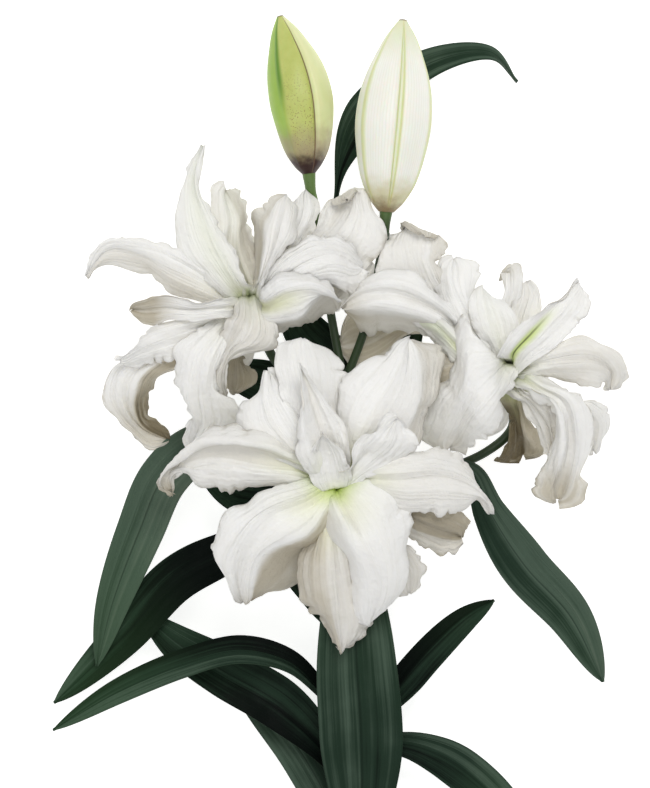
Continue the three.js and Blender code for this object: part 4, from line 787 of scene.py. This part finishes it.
RIGHT_PETALS = [
    petal(22, 0.8, 0.3, streak=1.0,
          middle=[[515, 353, 97], [534, 333, 103], [553, 312, 101], [578, 283, 86]],
          left=[[497, 357, 98], [518, 329, 107], [545, 308, 104], [568, 296, 95], [576, 272, 84]],
          right=[[530, 364, 94], [553, 350, 98], [571, 331, 95], [589, 309, 87], [588, 284, 81]]),
    petal(18, 1.0, 0.1, tan=[0.3, 0.35],
          middle=[[535, 366, 88], [562, 360, 95], [594, 360, 91], [613, 374, 77], [610, 390, 66]],
          left=[[528, 352, 90], [556, 344, 94], [585, 333, 88], [608, 345, 80], [623, 366, 73],
                [619, 394, 62]],
          right=[[540, 378, 80], [562, 382, 80], [590, 382, 78], [604, 384, 70], [601, 393, 64]]),
    petal(12, 1.0, 0.5, rim=0.3,
          middle=[[548, 398, 68], [574, 408, 70], [594, 424, 60], [594, 452, 44]],
          left=[[556, 386, 68], [584, 398, 68], [602, 403, 62], [609, 426, 50], [597, 454, 42]],
          right=[[544, 412, 66], [566, 428, 62], [584, 444, 52], [588, 456, 42]]),
    petal(18, 1.5, 0.7, pleat=1.0, tan=[0.7, 0.85], cream=0.6, rim=0.6,
          middle=[[537, 386, 88], [563, 402, 94], [571, 440, 82], [565, 478, 67], [557, 502, 54]],
          left_fold=[[543, 384, 90], [570, 397, 95], [580, 436, 84], [576, 474, 69], [564, 504, 55]],
          right_fold=[[532, 390, 89], [554, 406, 92], [562, 438, 84], [556, 474, 70], [549, 499, 57]],
          left=[[550, 379, 84], [576, 392, 86], [587, 420, 72], [587, 458, 58], [583, 486, 50],
                [574, 507, 48]],
          right=[[528, 392, 84], [547, 406, 80], [553, 432, 72], [546, 466, 60], [536, 488, 53],
                 [538, 502, 51]]),
    petal(14, 0.9, 0.2, tan=[0.2, 0.3], pleat=1.3,
          middle=[[520, 396, 80], [534, 406, 77], [546, 424, 69], [553, 454, 55]],
          left=[[522, 389, 82], [542, 396, 81], [554, 412, 72], [561, 440, 60]],
          right=[[514, 402, 76], [525, 414, 70], [538, 430, 61], [550, 458, 52]]),
    petal(6, 0.8, 0.6, tan=[0.05, 1.25], turned=[(-1, -0.2, 0.7)], pleat=1.0,
          middle=[[518, 416, 60], [522, 434, 50], [522, 460, 32]],
          left=[[525, 412, 62], [540, 434, 52], [546, 456, 36]],
          right=[[510, 424, 56], [504, 444, 44], [491, 462, 30]]),
    petal(25, 1.9, 0.4, reach=-1.5, tan=[0.84, 0.7], rim=0.5,
          middle=[[496, 373, 101], [479, 390, 107], [461, 417, 96], [448, 450, 76]],
          right_fold=[[488, 356, 104], [470, 360, 109], [457, 392, 103], [446, 424, 86], [436, 449, 74]],
          left=[[508, 396, 92], [500, 416, 92], [485, 436, 84], [464, 456, 70]],
          right=[[490, 348, 99], [474, 333, 105], [463, 314, 101], [455, 328, 94], [451, 356, 86],
                 [439, 388, 77], [427, 414, 71], [421, 438, 64], [428, 448, 66]]),
    petal(16, 1.5, 0.7, tan=[0.1, 1.1], rim=0.5,
          middle=[[484, 372, 82], [460, 374, 83], [438, 386, 71], [427, 412, 60]],
          left=[[488, 386, 80], [466, 398, 80], [448, 414, 70], [434, 432, 58]],
          right=[[480, 358, 82], [456, 350, 78], [431, 345, 68], [418, 372, 60], [421, 406, 54]]),
    petal(18, 0.8, 0.8, streak=0.6, green=0.8, tan=[0.1, 0.15],
          middle=[[486, 366, 88], [458, 350, 92], [436, 329, 90], [414, 317, 84]],
          left=[[484, 376, 84], [456, 364, 82], [434, 346, 78], [416, 331, 74]],
          right=[[490, 358, 90], [466, 340, 94], [446, 320, 92], [424, 306, 88]]),
    petal(16, 0.9, 0.1, green=0.15,
          middle=[[503, 352, 90], [496, 326, 95], [489, 302, 92], [483, 285, 84]],
          left=[[494, 354, 92], [474, 330, 97], [468, 304, 93], [475, 283, 83]],
          right=[[514, 346, 92], [520, 326, 96], [508, 304, 92], [492, 291, 83]]),
    petal(14, 1.1, 0.4, tan=[0.1, 0.18],
          middle=[[516, 344, 84], [524, 316, 88], [530, 296, 83], [528, 280, 72]],
          left=[[508, 344, 86], [509, 318, 87], [513, 298, 82], [518, 281, 74]],
          right=[[526, 338, 86], [541, 318, 88], [540, 298, 80], [534, 284, 71]]),
    petal(12, 0.6, 0.9, tan=[0.75, 0.7], rim=0.6,
          middle=[[506, 344, 80], [506, 312, 84], [511, 290, 80], [510, 270, 74], [501, 277, 66]],
          left=[[500, 342, 80], [498, 312, 82], [502, 292, 78], [501, 273, 72], [497, 286, 64]],
          right=[[514, 340, 80], [516, 312, 82], [522, 286, 78], [518, 265, 72], [504, 265, 64]]),
    petal(18, 1.3, 0.6,
          middle=[[494, 352, 88], [470, 318, 96], [455, 284, 94], [454, 258, 84]],
          left=[[486, 358, 86], [452, 326, 90], [431, 290, 86], [434, 264, 80], [447, 250, 76]],
          right=[[502, 344, 88], [480, 312, 90], [473, 284, 86], [476, 266, 78], [466, 258, 76]]),
    petal(14, 1.4, 0.2, tan=[0.85, 0.9], turned=[(-1, 0.5, 0.3), (1, -1.2, 0.15)], rim=0.6,
          middle=[[470, 350, 78], [436, 306, 85], [417, 268, 86], [412, 243, 82], [417, 227, 79],
                  [425, 236, 87]],
          left=[[464, 362, 76], [408, 318, 82], [377, 280, 84], [381, 252, 76], [388, 234, 72],
                [402, 226, 76], [408, 232, 82]],
          right=[[478, 342, 78], [452, 296, 83], [437, 266, 83], [447, 250, 78], [440, 236, 78],
                 [438, 243, 86]]),
    petal(16, 1.2, 0.9, tan=[0.8, 0.75], turned=[(1, 0.55, 0.45)],
          middle=[[475, 350, 82], [440, 316, 94], [398, 298, 101], [364, 299, 96], [341, 309, 87]],
          left_fold=[[472, 357, 80], [438, 325, 90], [403, 313, 98], [372, 308, 96], [345, 315, 86]],
          left=[[470, 362, 72], [436, 336, 68], [406, 333, 62], [374, 333, 60], [348, 327, 66]],
          right=[[480, 342, 82], [446, 298, 93], [406, 272, 95], [370, 275, 92], [343, 296, 88]]),
    petal(6, 0.6, 0.3, cream=0.8, tan=[0.25, 1.0],
          middle=[[470, 370, 58], [425, 327, 50], [398, 327, 47], [370, 338, 46], [340, 346, 47]],
          left=[[474, 380, 56], [430, 335, 48], [403, 337, 47], [388, 356, 46], [362, 370, 46],
                [343, 366, 47]],
          right=[[468, 360, 58], [424, 318, 50], [396, 314, 47], [360, 308, 47], [338, 318, 47]]),
    hidden_petal(6, 1.2, 0.6, half=16, route=[[528, 378, 50], [532, 342, 28], [528, 302, -2]]),
    hidden_petal(6, 1.2, 0.1, half=13, route=[[492, 410, 46], [474, 421, 40], [460, 430, 30]]),
]
BLOOMS = {
    "bloom_centre": {"heart": [334, 482, 78], "facing": [0, -0.06, 1], "glow": 1.0,
                     "petals": CENTRE_PETALS},
    "bloom_left": {"heart": [257, 316, 50], "facing": [-0.16, 0.34, 0.93], "glow": 0.45,
                   "petals": LEFT_PETALS},
    "bloom_right": {"heart": [510, 386, 52], "facing": [-0.12, 0.5, 0.86], "glow": 0.5,
                    "petals": RIGHT_PETALS},
}

HEART_RADII = [4.5, 9, 5]
HEART_DROP = 7
HEART_RISE = 17
HEART_ROWS = 24
HEART_SIDES = 32
FOOT_REACH = 2.5
FOOT_HALF = 2.5
CLAW_HALF = 8.5
# How sharp a drawn fold is, from soft at 0 to a straight crease at 1, and where a petal's tip rounds off
FOLD_CRISPNESS = 0.5
TIP_START = 0.93
# The along value at a heart's foot, which colours it as a petal's throat
THROAT_SHARE = 0.14


def heart_of(bloom):
    return place(bloom["heart"]), unit(np.array(bloom["facing"], float))


def petal_foot(bloom, petal, outer):
    """Where a petal starts inside its bloom's heart, where it leaves it, and its first side"""
    heart, facing = heart_of(bloom)
    radial = outer[1] - heart
    radial = unit(radial - facing * radial.dot(facing))
    foot = heart + facing * 0.4 * petal["rise"] + radial * FOOT_REACH
    claw = heart + facing * petal["rise"] + radial * petal["reach"]
    return foot, claw, np.cross(facing, radial)


def petal_lines(bloom, petal):
    """Five lines along a petal from its right margin to its left one, evenly curved where it has no fold"""
    foot, claw, side = petal_foot(bloom, petal, [place(point) for point in petal["middle"]])

    def line(name, way):
        start = [foot + side * way * FOOT_HALF, claw + side * way * CLAW_HALF]
        return follow(start + [place(point) for point in petal[name]], PETAL_ROWS)[0]

    right, middle, left = line("right", -1), line("middle", 0), line("left", 1)
    even = 0.75 * middle + 0.375 * right - 0.125 * left, 0.75 * middle + 0.375 * left - 0.125 * right
    right_fold = line("right_fold", -0.5) if "right_fold" in petal else even[0]
    left_fold = line("left_fold", 0.5) if "left_fold" in petal else even[1]
    return np.array([right, right_fold, middle, left_fold, left])


def across_weights(s, crisp):
    """How much each of a petal's five lines counts at places across it"""
    values = np.eye(5)
    slopes = np.gradient(values, axis=0, edge_order=2)
    index = np.clip((s + 1) * 2, 0, 3.999).astype(int)
    w = ((s + 1) * 2 - index)[:, None]
    curved = between(values[index], values[index + 1], slopes[index], slopes[index + 1], w)
    straight = values[index] * (1 - w) + values[index + 1] * w
    return curved + (straight - curved) * crisp[:, None]


def drawn_surface(bloom, petal, detail):
    """The middle surface of a petal that is drawn by its middle, its two margins and any folds"""
    t, s = shares(PETAL_ROWS, PETAL_COLUMNS)
    folded = np.where(s[0] < 0, "right_fold" in petal, "left_fold" in petal)
    weights = across_weights(s[0], FOLD_CRISPNESS * folded)
    grid = np.einsum("sk,ktx->tsx", weights, petal_lines(bloom, petal))
    middle = grid[:, PETAL_COLUMNS // 2][:, None]
    rounded = np.sqrt(np.clip(1 - (np.maximum(t - TIP_START, 0) / (1 - TIP_START)) ** 2, 0.03, 1))
    grid = middle + (grid - middle) * rounded[..., None]
    wider, slide, lift = detail(t, s)
    along = unit(np.gradient(grid, axis=0))
    lift = lift + slow_form(petal, t, s)
    grid = (grid + (grid - middle) * wider[..., None] + upward(grid) * lift[..., None]
            + along * slide[..., None])
    return grid, np.broadcast_to(t, grid.shape[:2]), np.broadcast_to(s, grid.shape[:2])


def petal_surface(bloom, petal, rng):
    """The middle surface of one petal, with its length and width shares"""
    if "route" in petal:
        detail = petal_detail(rng, petal["ruffle"] / 2.2, petal["pleat"], petal["half"])
        outer = [place(point) for point in petal["route"]]
        foot, claw, side = petal_foot(bloom, petal, outer)
        return blade_surface([foot, claw, *outer], side, petal, PETAL_ROWS, PETAL_COLUMNS, detail)
    half = math.dist(petal["left"][1][:2], petal["right"][1][:2]) * GRID_STEP / 2
    return drawn_surface(bloom, petal, petal_detail(rng, 0.35 + 0.45 * petal["ruffle"], petal["pleat"], half))


def add_petal(body, bloom, petal, rng):
    """Adds one petal, rooted in its bloom's heart"""
    grid, t, s = petal_surface(bloom, petal, rng)
    reach = PETAL_THICKNESS / 2 * (1 - 0.75 * np.abs(s) ** 2) * (1 - 0.5 * t)
    corners, faces, upper = closed_sheet(grid, np.maximum(reach, THINNEST_HALF))
    # Painted beige shade from a length share on, and in the turned strips
    start, strength = petal["tan"]
    tan = strength * smooth((t - start) / 0.25)
    for side, inner_edge, amount in petal["turned"]:
        tan = tan + amount * smooth((side * s - inner_edge) / 0.15) * smooth((t - 0.15) / 0.2)
    # How deep each point lies in a hollow, for painted shade in the hollows
    depth = hollows(grid).ravel()
    body.add(corners, faces, along=np.tile(t.ravel(), 2), across=np.tile(s.ravel(), 2), upper=upper,
             hollow=np.concatenate([depth, -depth]), tan=np.tile(tan.ravel(), 2),
             glow=petal["glow"] * bloom["glow"], seed=rng.uniform(0, 50),
             **{name: petal[name] for name in ("streak", "cream", "rim", "green")})


def add_heart(body, bloom):
    """The short barrel that the petals grow from, with a rounded green middle deep in the throat"""
    heart, facing = heart_of(bloom)
    t = np.linspace(0, 1, HEART_ROWS + 1)
    radius = blend(HEART_RADII, t) * np.sqrt(np.clip(1.02 - np.maximum(t - 0.6, 0) ** 2 / 0.16, 0.02, 1))
    points = [heart + facing * rise for rise in (-HEART_DROP, 0, HEART_RISE)]
    corners, faces = tube(*follow(points, HEART_ROWS), radius[:, None], HEART_SIDES)
    body.add(corners, faces, along=np.repeat(THROAT_SHARE * (1 - t), HEART_SIDES), upper=1.0, across=0.5,
             glow=bloom["glow"])


def make_bloom(name, bloom, material, seed):
    rng = np.random.default_rng(seed)
    body = Body()
    add_heart(body, bloom)
    for row in bloom["petals"]:
        add_petal(body, bloom, row, rng)
    hand_over(body.make(name + "_petals", material), name)


# Buds

# front is where a bud's front seam lies round it, in degrees
BUDS = {
    "bud_green": {"route": [[309, 174, 56], [300, 96, 58], [280, 16, 52]], "radius": 18.5, "front": 296},
    "bud_white": {"route": [[386, 212, 72], [394, 118, 74], [403, 20, 66]], "radius": 22.5, "front": 278},
}
BUD_ROWS = 120
BUD_SIDES = 144
# Length share and share of the widest radius
BUD_OUTLINE = np.array([[0, 0.2], [0.06, 0.46], [0.17, 0.74], [0.32, 0.92], [0.45, 1],
                        [0.58, 0.96], [0.69, 0.84], [0.79, 0.66], [0.9, 0.42], [1, 0.1]])


def bud_share(t):
    """Bud radius along its length, as a share of its widest radius, on a smooth curve"""
    outline = curve_points(BUD_OUTLINE, np.linspace(0, 1, 200))
    return np.interp(t, outline[:, 0], outline[:, 1])


def make_bud(name, material):
    """A closed bud with three seams between their lips and three ribs, all fading at its ends"""
    bud = BUDS[name]
    t = np.linspace(0, 1, BUD_ROWS + 1)[:, None]
    degrees = np.linspace(0, 360, BUD_SIDES, endpoint=False)[None, :]
    around = (degrees - bud["front"] + 180) % 360 - 180
    from_seam = (around + 60) % 120 - 60
    from_rib = around % 120 - 60
    full = smooth(t / 0.12) * smooth((1 - t) / 0.06)
    valley = 0.085 * hump(from_seam, 8) + 0.05 * hump(from_seam, 2.2)
    lip = 0.03 * hump(np.abs(from_seam) - 7, 3.5)
    rib = 0.035 * hump(from_rib, 6)
    radius = bud["radius"] * bud_share(t) * (1 + full * (lip + rib - valley))
    body = Body()
    corners, faces = tube(*follow([place(point) for point in bud["route"]], BUD_ROWS), radius, BUD_SIDES)
    body.add(corners, faces, along=np.broadcast_to(t, radius.shape).ravel(),
             around=np.broadcast_to(around, radius.shape).ravel())
    hand_over(body.make(name + "_tepals", material), name)


# Stem with its flower stalks

STEM_ROUTE = [[357, 964, 3.9], [357, 900, 12], [358, 820, 21], [357, 720, 33], [355, 620, 43], [350, 520, 51],
              [345, 430, 54], [344, 380, 54]]
STALKS = {
    "bloom_centre": [[350, 560, 48], [341, 512, 56]],
    "bloom_left": [[347, 460, 53], [300, 392, 44], [270, 352, 36]],
    "bloom_right": [[349, 500, 52], [420, 478, 44], [486, 452, 38], [512, 428, 36]],
    "bud_green": [[344, 385, 54], [332, 320, 52], [320, 250, 52], [313, 200, 54]],
    "bud_white": [[344, 385, 54], [366, 325, 56], [380, 262, 60], [385, 236, 66]],
}
# Radii at the root, the middle and the tip
STEM_RADII = 4.6 * np.array([1, 0.9, 0.6])
STALK_RADII = 2.6 * np.array([1, 1, 1.25])
STEM_ROWS, STEM_SIDES = 160, 28
STALK_ROWS, STALK_SIDES = 60, 20
# How far a stalk's last two points lie below what it carries
STALK_ENDS = (12, -3)


def stalk_end(name):
    """The last points of a stalk, which run straight up into what it carries"""
    if name in BLOOMS:
        heart, facing = heart_of(BLOOMS[name])
        return [heart - facing * (HEART_DROP + back) for back in STALK_ENDS]
    base, middle = (place(point) for point in BUDS[name]["route"][:2])
    return [base + unit(base - middle) * back for back in STALK_ENDS]


def add_rod(body, points, radii, rows, sides, swell):
    """A round rod along points, with radii at its root, middle and tip times a swelling"""
    t = np.linspace(0, 1, rows + 1)
    radius = blend(radii, t) * swell(t)
    body.add(*tube(*follow(points, rows), radius[:, None], sides))


def make_stem(material):
    body = Body()
    add_rod(body, [place(point) for point in STEM_ROUTE], STEM_RADII, STEM_ROWS, STEM_SIDES,
            lambda t: 1 + 0.03 * wave(9 * t) ** 2)
    for name, route in STALKS.items():
        points = [place(point) for point in route] + stalk_end(name)
        add_rod(body, points, STALK_RADII, STALK_ROWS, STALK_SIDES,
                lambda t: 1 + 0.25 * smooth((t - 0.9) / 0.1))
    hand_over(body.make("stem_and_stalks", material), "stem")


# Leaves
#
# cup and roll are degrees at a leaf's root, middle and tip, and narrow is the length share that stays narrow.
# Its tone and painted sheen say how pale it is at its root and its tip, from near black at 0, and how much
# paler on its left half.
USUAL_LEAF = {"roll": [0, 0, 0], "claw": 0.35, "narrow": 0.0, "swell": 0.45, "blunt": 0.3, "waves": 1.6,
              "groove": 0.8, "fresh": 0.1, "tone": [0.25, 0.35, 0.0]}


def leaf(half, ruffle, phase, **more):
    return {**USUAL_LEAF, "half": half, "ruffle": ruffle, "phase": phase, **more}


LEAVES = {
    "leaf_top": leaf(
        13, 0.8, 0.3, cup=[30, 15, 10], roll=[60, 0, 0], claw=0.12, narrow=0.2, blunt=-0.25,
        tone=[0.25, 0.8, 0.05],
        route=[[328, 268, 44], [335, 205, 37], [342, 163, 32], [356, 130, 29], [388, 90, 26], [440, 59, 32],
               [490, 53, 24], [517, 82, 0]]),
    "leaf_left_upper": leaf(
        15, 1.0, 0.1, cup=[30, 20, 15], fresh=0.35, tone=[1.45, 1.15, 0.12],
        route=[[342, 440, 44], [270, 436, 34], [200, 446, 36], [163, 478, 42], [140, 530, 42], [113, 602, 38],
               [97, 666, 26]]),
    "leaf_left_middle": leaf(
        14, 1.0, 0.6, cup=[30, 20, 10], fresh=0.3, tone=[-1.2, 0.75, -0.3],
        route=[[346, 522, 44], [290, 528, 40], [225, 553, 38], [175, 580, 34], [126, 634, 26], [85, 674, 22],
               [54, 703, 14]]),
    "leaf_left_low": leaf(
        10, 0.8, 0.2, cup=[35, 25, 15], roll=[40, 35, 10], fresh=0.35, tone=[-0.1, 0.85, 0.25],
        route=[[356, 738, 32], [318, 688, 42], [288, 662, 48], [240, 651, 50], [185, 664, 44], [120, 691, 32],
               [53, 730, 18]]),
    "leaf_left_base": leaf(
        16, 1.0, 0.8, cup=[30, 20, 10], tone=[0.05, 0.6, -0.15],
        route=[[356, 792, 24], [322, 744, 32], [280, 704, 36], [225, 672, 32], [180, 645, 27],
               [140, 612, 18]]),
    "leaf_bottom_left": leaf(
        14, 0.8, 0.4, cup=[30, 15, 10], tone=[0.6, 0.75, 0.2],
        route=[[357, 868, 15], [328, 800, 20], [298, 748, 22], [262, 706, 18], [226, 670, 10]]),
    "leaf_front": leaf(
        25, 0.8, 0.7, cup=[30, 14, 20], tone=[0.4, 0.85, 0.08],
        route=[[357, 890, 20], [362, 800, 38], [361, 730, 50], [357, 670, 60], [354, 600, 66], [351, 560, 66],
               [350, 524, 63]]),
    "leaf_right_upper": leaf(
        15, 1.0, 0.5, cup=[30, 20, 20], tone=[0.72, 1.05, 0.2],
        route=[[452, 466, 42], [474, 474, 44], [490, 512, 46], [525, 566, 42], [570, 616, 34],
               [603, 682, 20]]),
    "leaf_right_low": leaf(
        10.5, 0.8, 0.1, cup=[35, 20, 10], roll=[0, 10, 0], tone=[0.15, 0.3, -0.2],
        route=[[358, 738, 34], [392, 696, 42], [430, 652, 44], [464, 620, 42], [494, 600, 34]]),
    "leaf_right_base": leaf(
        13, 1.0, 0.9, cup=[30, 15, 10], fresh=0.6, tone=[0.3, 0.9, 0.15],
        route=[[358, 756, 28], [398, 744, 34], [440, 756, 32], [482, 786, 26], [520, 830, 18],
               [545, 874, 8]]),
    "leaf_behind_centre": leaf(
        12, 0.8, 0.3, cup=[30, 15, 10],
        route=[[347, 502, 42], [290, 500, 34], [240, 496, 30], [200, 474, 26]]),
    "leaf_under_centre": leaf(
        10, 0.6, 0.6, cup=[30, 20, 10],
        route=[[353, 650, 36], [326, 606, 36], [298, 574, 34], [268, 548, 30]]),
    "leaf_gap_upper": leaf(
        14, 0.8, 0.2, cup=[30, 15, 10],
        route=[[344, 400, 44], [326, 356, 33], [304, 330, 27], [282, 296, 20]]),
    "leaf_gap_left": leaf(
        14, 0.8, 0.7, cup=[30, 15, 10],
        route=[[341, 420, 40], [290, 392, 30], [250, 378, 24], [214, 370, 18]]),
    "leaf_gap_right": leaf(
        10, 0.8, 0.4, cup=[30, 15, 10],
        route=[[346, 430, 44], [384, 386, 34], [405, 346, 28], [420, 300, 22]]),
}
RIB_COUNT = 5.0
RIB_HEIGHT = 0.3 * METRES


def rib_tree():
    """Raises ribs side by side along a leaf, highest in its middle and gone at its tip"""
    tree = bpy.data.node_groups.new("leaf ribs", "GeometryNodeTree")
    for name, way, kind in (("Geometry", "INPUT", "Geometry"), ("Rib count", "INPUT", "Float"),
                            ("Rib height", "INPUT", "Float"), ("Finish", "INPUT", "Material"),
                            ("Geometry", "OUTPUT", "Geometry")):
        tree.interface.new_socket(name, in_out=way, socket_type="NodeSocket" + kind)

    def node(kind, *inputs, **settings):
        """A node with its first inputs fed, each by a link or by a value"""
        made = tree.nodes.new(kind)
        for key, value in settings.items():
            setattr(made, key, value)
        for key, value in enumerate(inputs):
            if isinstance(value, bpy.types.NodeSocket):
                tree.links.new(value, made.inputs[key])
            else:
                made.inputs[key].default_value = value
        return made.outputs

    def math_node(operation, *inputs):
        return node("ShaderNodeMath", *inputs, operation=operation)[0]

    def attribute(name):
        return node("GeometryNodeInputNamedAttribute", name, data_type="FLOAT")["Attribute"]

    given, across = node("NodeGroupInput"), attribute("across")
    turn = math_node("MULTIPLY", math_node("MULTIPLY", across, given["Rib count"]), math.pi / 2)
    profile = math_node("ABSOLUTE", math_node("COSINE", turn))
    inside = math_node("SUBTRACT", 1.0, math_node("POWER", math_node("ABSOLUTE", across), 3.0))
    length = math_node("SINE", math_node("MULTIPLY", attribute("along"), math.pi))
    height = math_node("MULTIPLY", math_node("MULTIPLY", profile, inside), given["Rib height"])
    height = math_node("MULTIPLY", height, math_node("POWER", length, 0.6))
    side = math_node("SUBTRACT", math_node("MULTIPLY", attribute("upper"), 2.0), 1.0)
    offset = tree.nodes.new("ShaderNodeVectorMath")
    offset.operation = "SCALE"
    tree.links.new(node("GeometryNodeInputNormal")[0], offset.inputs["Vector"])
    tree.links.new(math_node("MULTIPLY", height, side), offset.inputs["Scale"])
    moved = tree.nodes.new("GeometryNodeSetPosition")
    tree.links.new(given["Geometry"], moved.inputs["Geometry"])
    tree.links.new(offset.outputs[0], moved.inputs["Offset"])
    whole = node("GeometryNodeRealizeInstances", moved.outputs[0])
    dressed = tree.nodes.new("GeometryNodeSetMaterial")
    tree.links.new(whole[0], dressed.inputs["Geometry"])
    tree.links.new(given["Finish"], dressed.inputs["Material"])
    node("NodeGroupOutput", dressed.outputs[0])
    return tree


def grow(piece, tree, settings):
    """Runs a node tree on a piece and keeps the result as a plain mesh"""
    modifier = piece.modifiers.new(tree.name, "NODES")
    modifier.node_group = tree
    for item in tree.interface.items_tree:
        if item.in_out == "INPUT" and item.name in settings:
            modifier[item.identifier] = settings[item.name]
    depsgraph = bpy.context.evaluated_depsgraph_get()
    result = bpy.data.meshes.new_from_object(piece.evaluated_get(depsgraph))
    piece.modifiers.remove(modifier)
    piece.data = result


def make_leaf(name, leaf, tree, material):
    points = [place(point) for point in leaf["route"]]
    first_side = np.cross([0, 0, 1], unit(points[1] - points[0]))
    grid, t, s = blade_surface(points, first_side, leaf, LEAF_ROWS, LEAF_COLUMNS)
    corners, faces, upper = closed_sheet(grid, LEAF_THICKNESS / 2 * (1 - 0.5 * np.abs(s) ** 2))
    # Tone and painted sheen, along the leaf and paler on one half
    root_tone, tip_tone, lean = leaf["tone"]
    tone = root_tone + (tip_tone - root_tone) * t + lean * np.clip(s * 4, -1, 1)
    body = Body()
    body.add(corners, faces, along=np.tile(t.ravel(), 2), across=np.tile(s.ravel(), 2), upper=upper,
             fresh=leaf["fresh"], tone=np.tile(tone.ravel(), 2), seed=len(name) + root_tone)
    piece = body.make(name + "_blade", material)
    grow(piece, tree, {"Rib count": RIB_COUNT, "Rib height": RIB_HEIGHT, "Finish": material})
    hand_over(piece, name)


# Table, lights and camera

TABLE_REACH = 6.0
LIGHT_TARGET = Vector((0.0, 0.03, 0.06))
SENSOR_WIDTH = 36
FARTHEST_SEEN = 50
ROOM_LIGHT = 0.45
# Position and size in metres, energy in watts and colour
LIGHTS = {
    "key": ((0.30, 1.05, 2.2), 1.0, 25, (1.0, 0.99, 0.975)),
    "fill": ((-0.7, -0.8, 2.3), 1.8, 13, (1.0, 0.995, 0.985)),
}


def make_table(material):
    mesh = bpy.data.meshes.new("table")
    ends = [(x * TABLE_REACH, y * TABLE_REACH, 0) for x, y in ((-1, -1), (1, -1), (1, 1), (-1, 1))]
    mesh.from_pydata(ends, [], [(0, 1, 2, 3)])
    mesh.materials.append(material)
    link("table", mesh)


def make_light(name, position, size, energy, colour):
    light = bpy.data.lights.new(name, "AREA")
    light.size, light.energy, light.color = size, energy, colour
    holder = link(name, light)
    holder.location = position
    holder.rotation_euler = (LIGHT_TARGET - Vector(position)).to_track_quat("-Z", "Y").to_euler()


def make_camera():
    camera = bpy.data.cameras.new("camera")
    camera.sensor_width = SENSOR_WIDTH
    camera.lens = SENSOR_WIDTH * SIGHT_HEIGHT / (2 * GRID_MIDDLE[1] * GRID_STEP)
    camera.clip_end = FARTHEST_SEEN
    holder = link("camera", camera)
    holder.location = (PLAN_SHIFT + [0, 0, SIGHT_HEIGHT + PLAN_LEVEL]) * METRES
    bpy.context.scene.camera = holder


def make_world():
    world = bpy.data.worlds.new("soft room")
    world.use_nodes = True
    background = world.node_tree.nodes["Background"]
    background.inputs["Color"].default_value = WHITE
    background.inputs["Strength"].default_value = ROOM_LIGHT
    bpy.context.scene.world = world
    bpy.context.scene.view_settings.view_transform = "Standard"


def build():
    petal_look, leaf_look, ribs = petal_finish(), leaf_finish(), rib_tree()
    for seed, (name, bloom) in enumerate(BLOOMS.items(), 11):
        make_bloom(name, bloom, petal_look, seed)
    make_bud("bud_green", green_bud_finish())
    make_bud("bud_white", white_bud_finish())
    make_stem(stem_finish())
    for name, leaf_row in LEAVES.items():
        make_leaf(name, leaf_row, ribs, leaf_look)
    make_table(table_finish())
    for name, light in LIGHTS.items():
        make_light(name, *light)
    make_camera()
    make_world()


build()
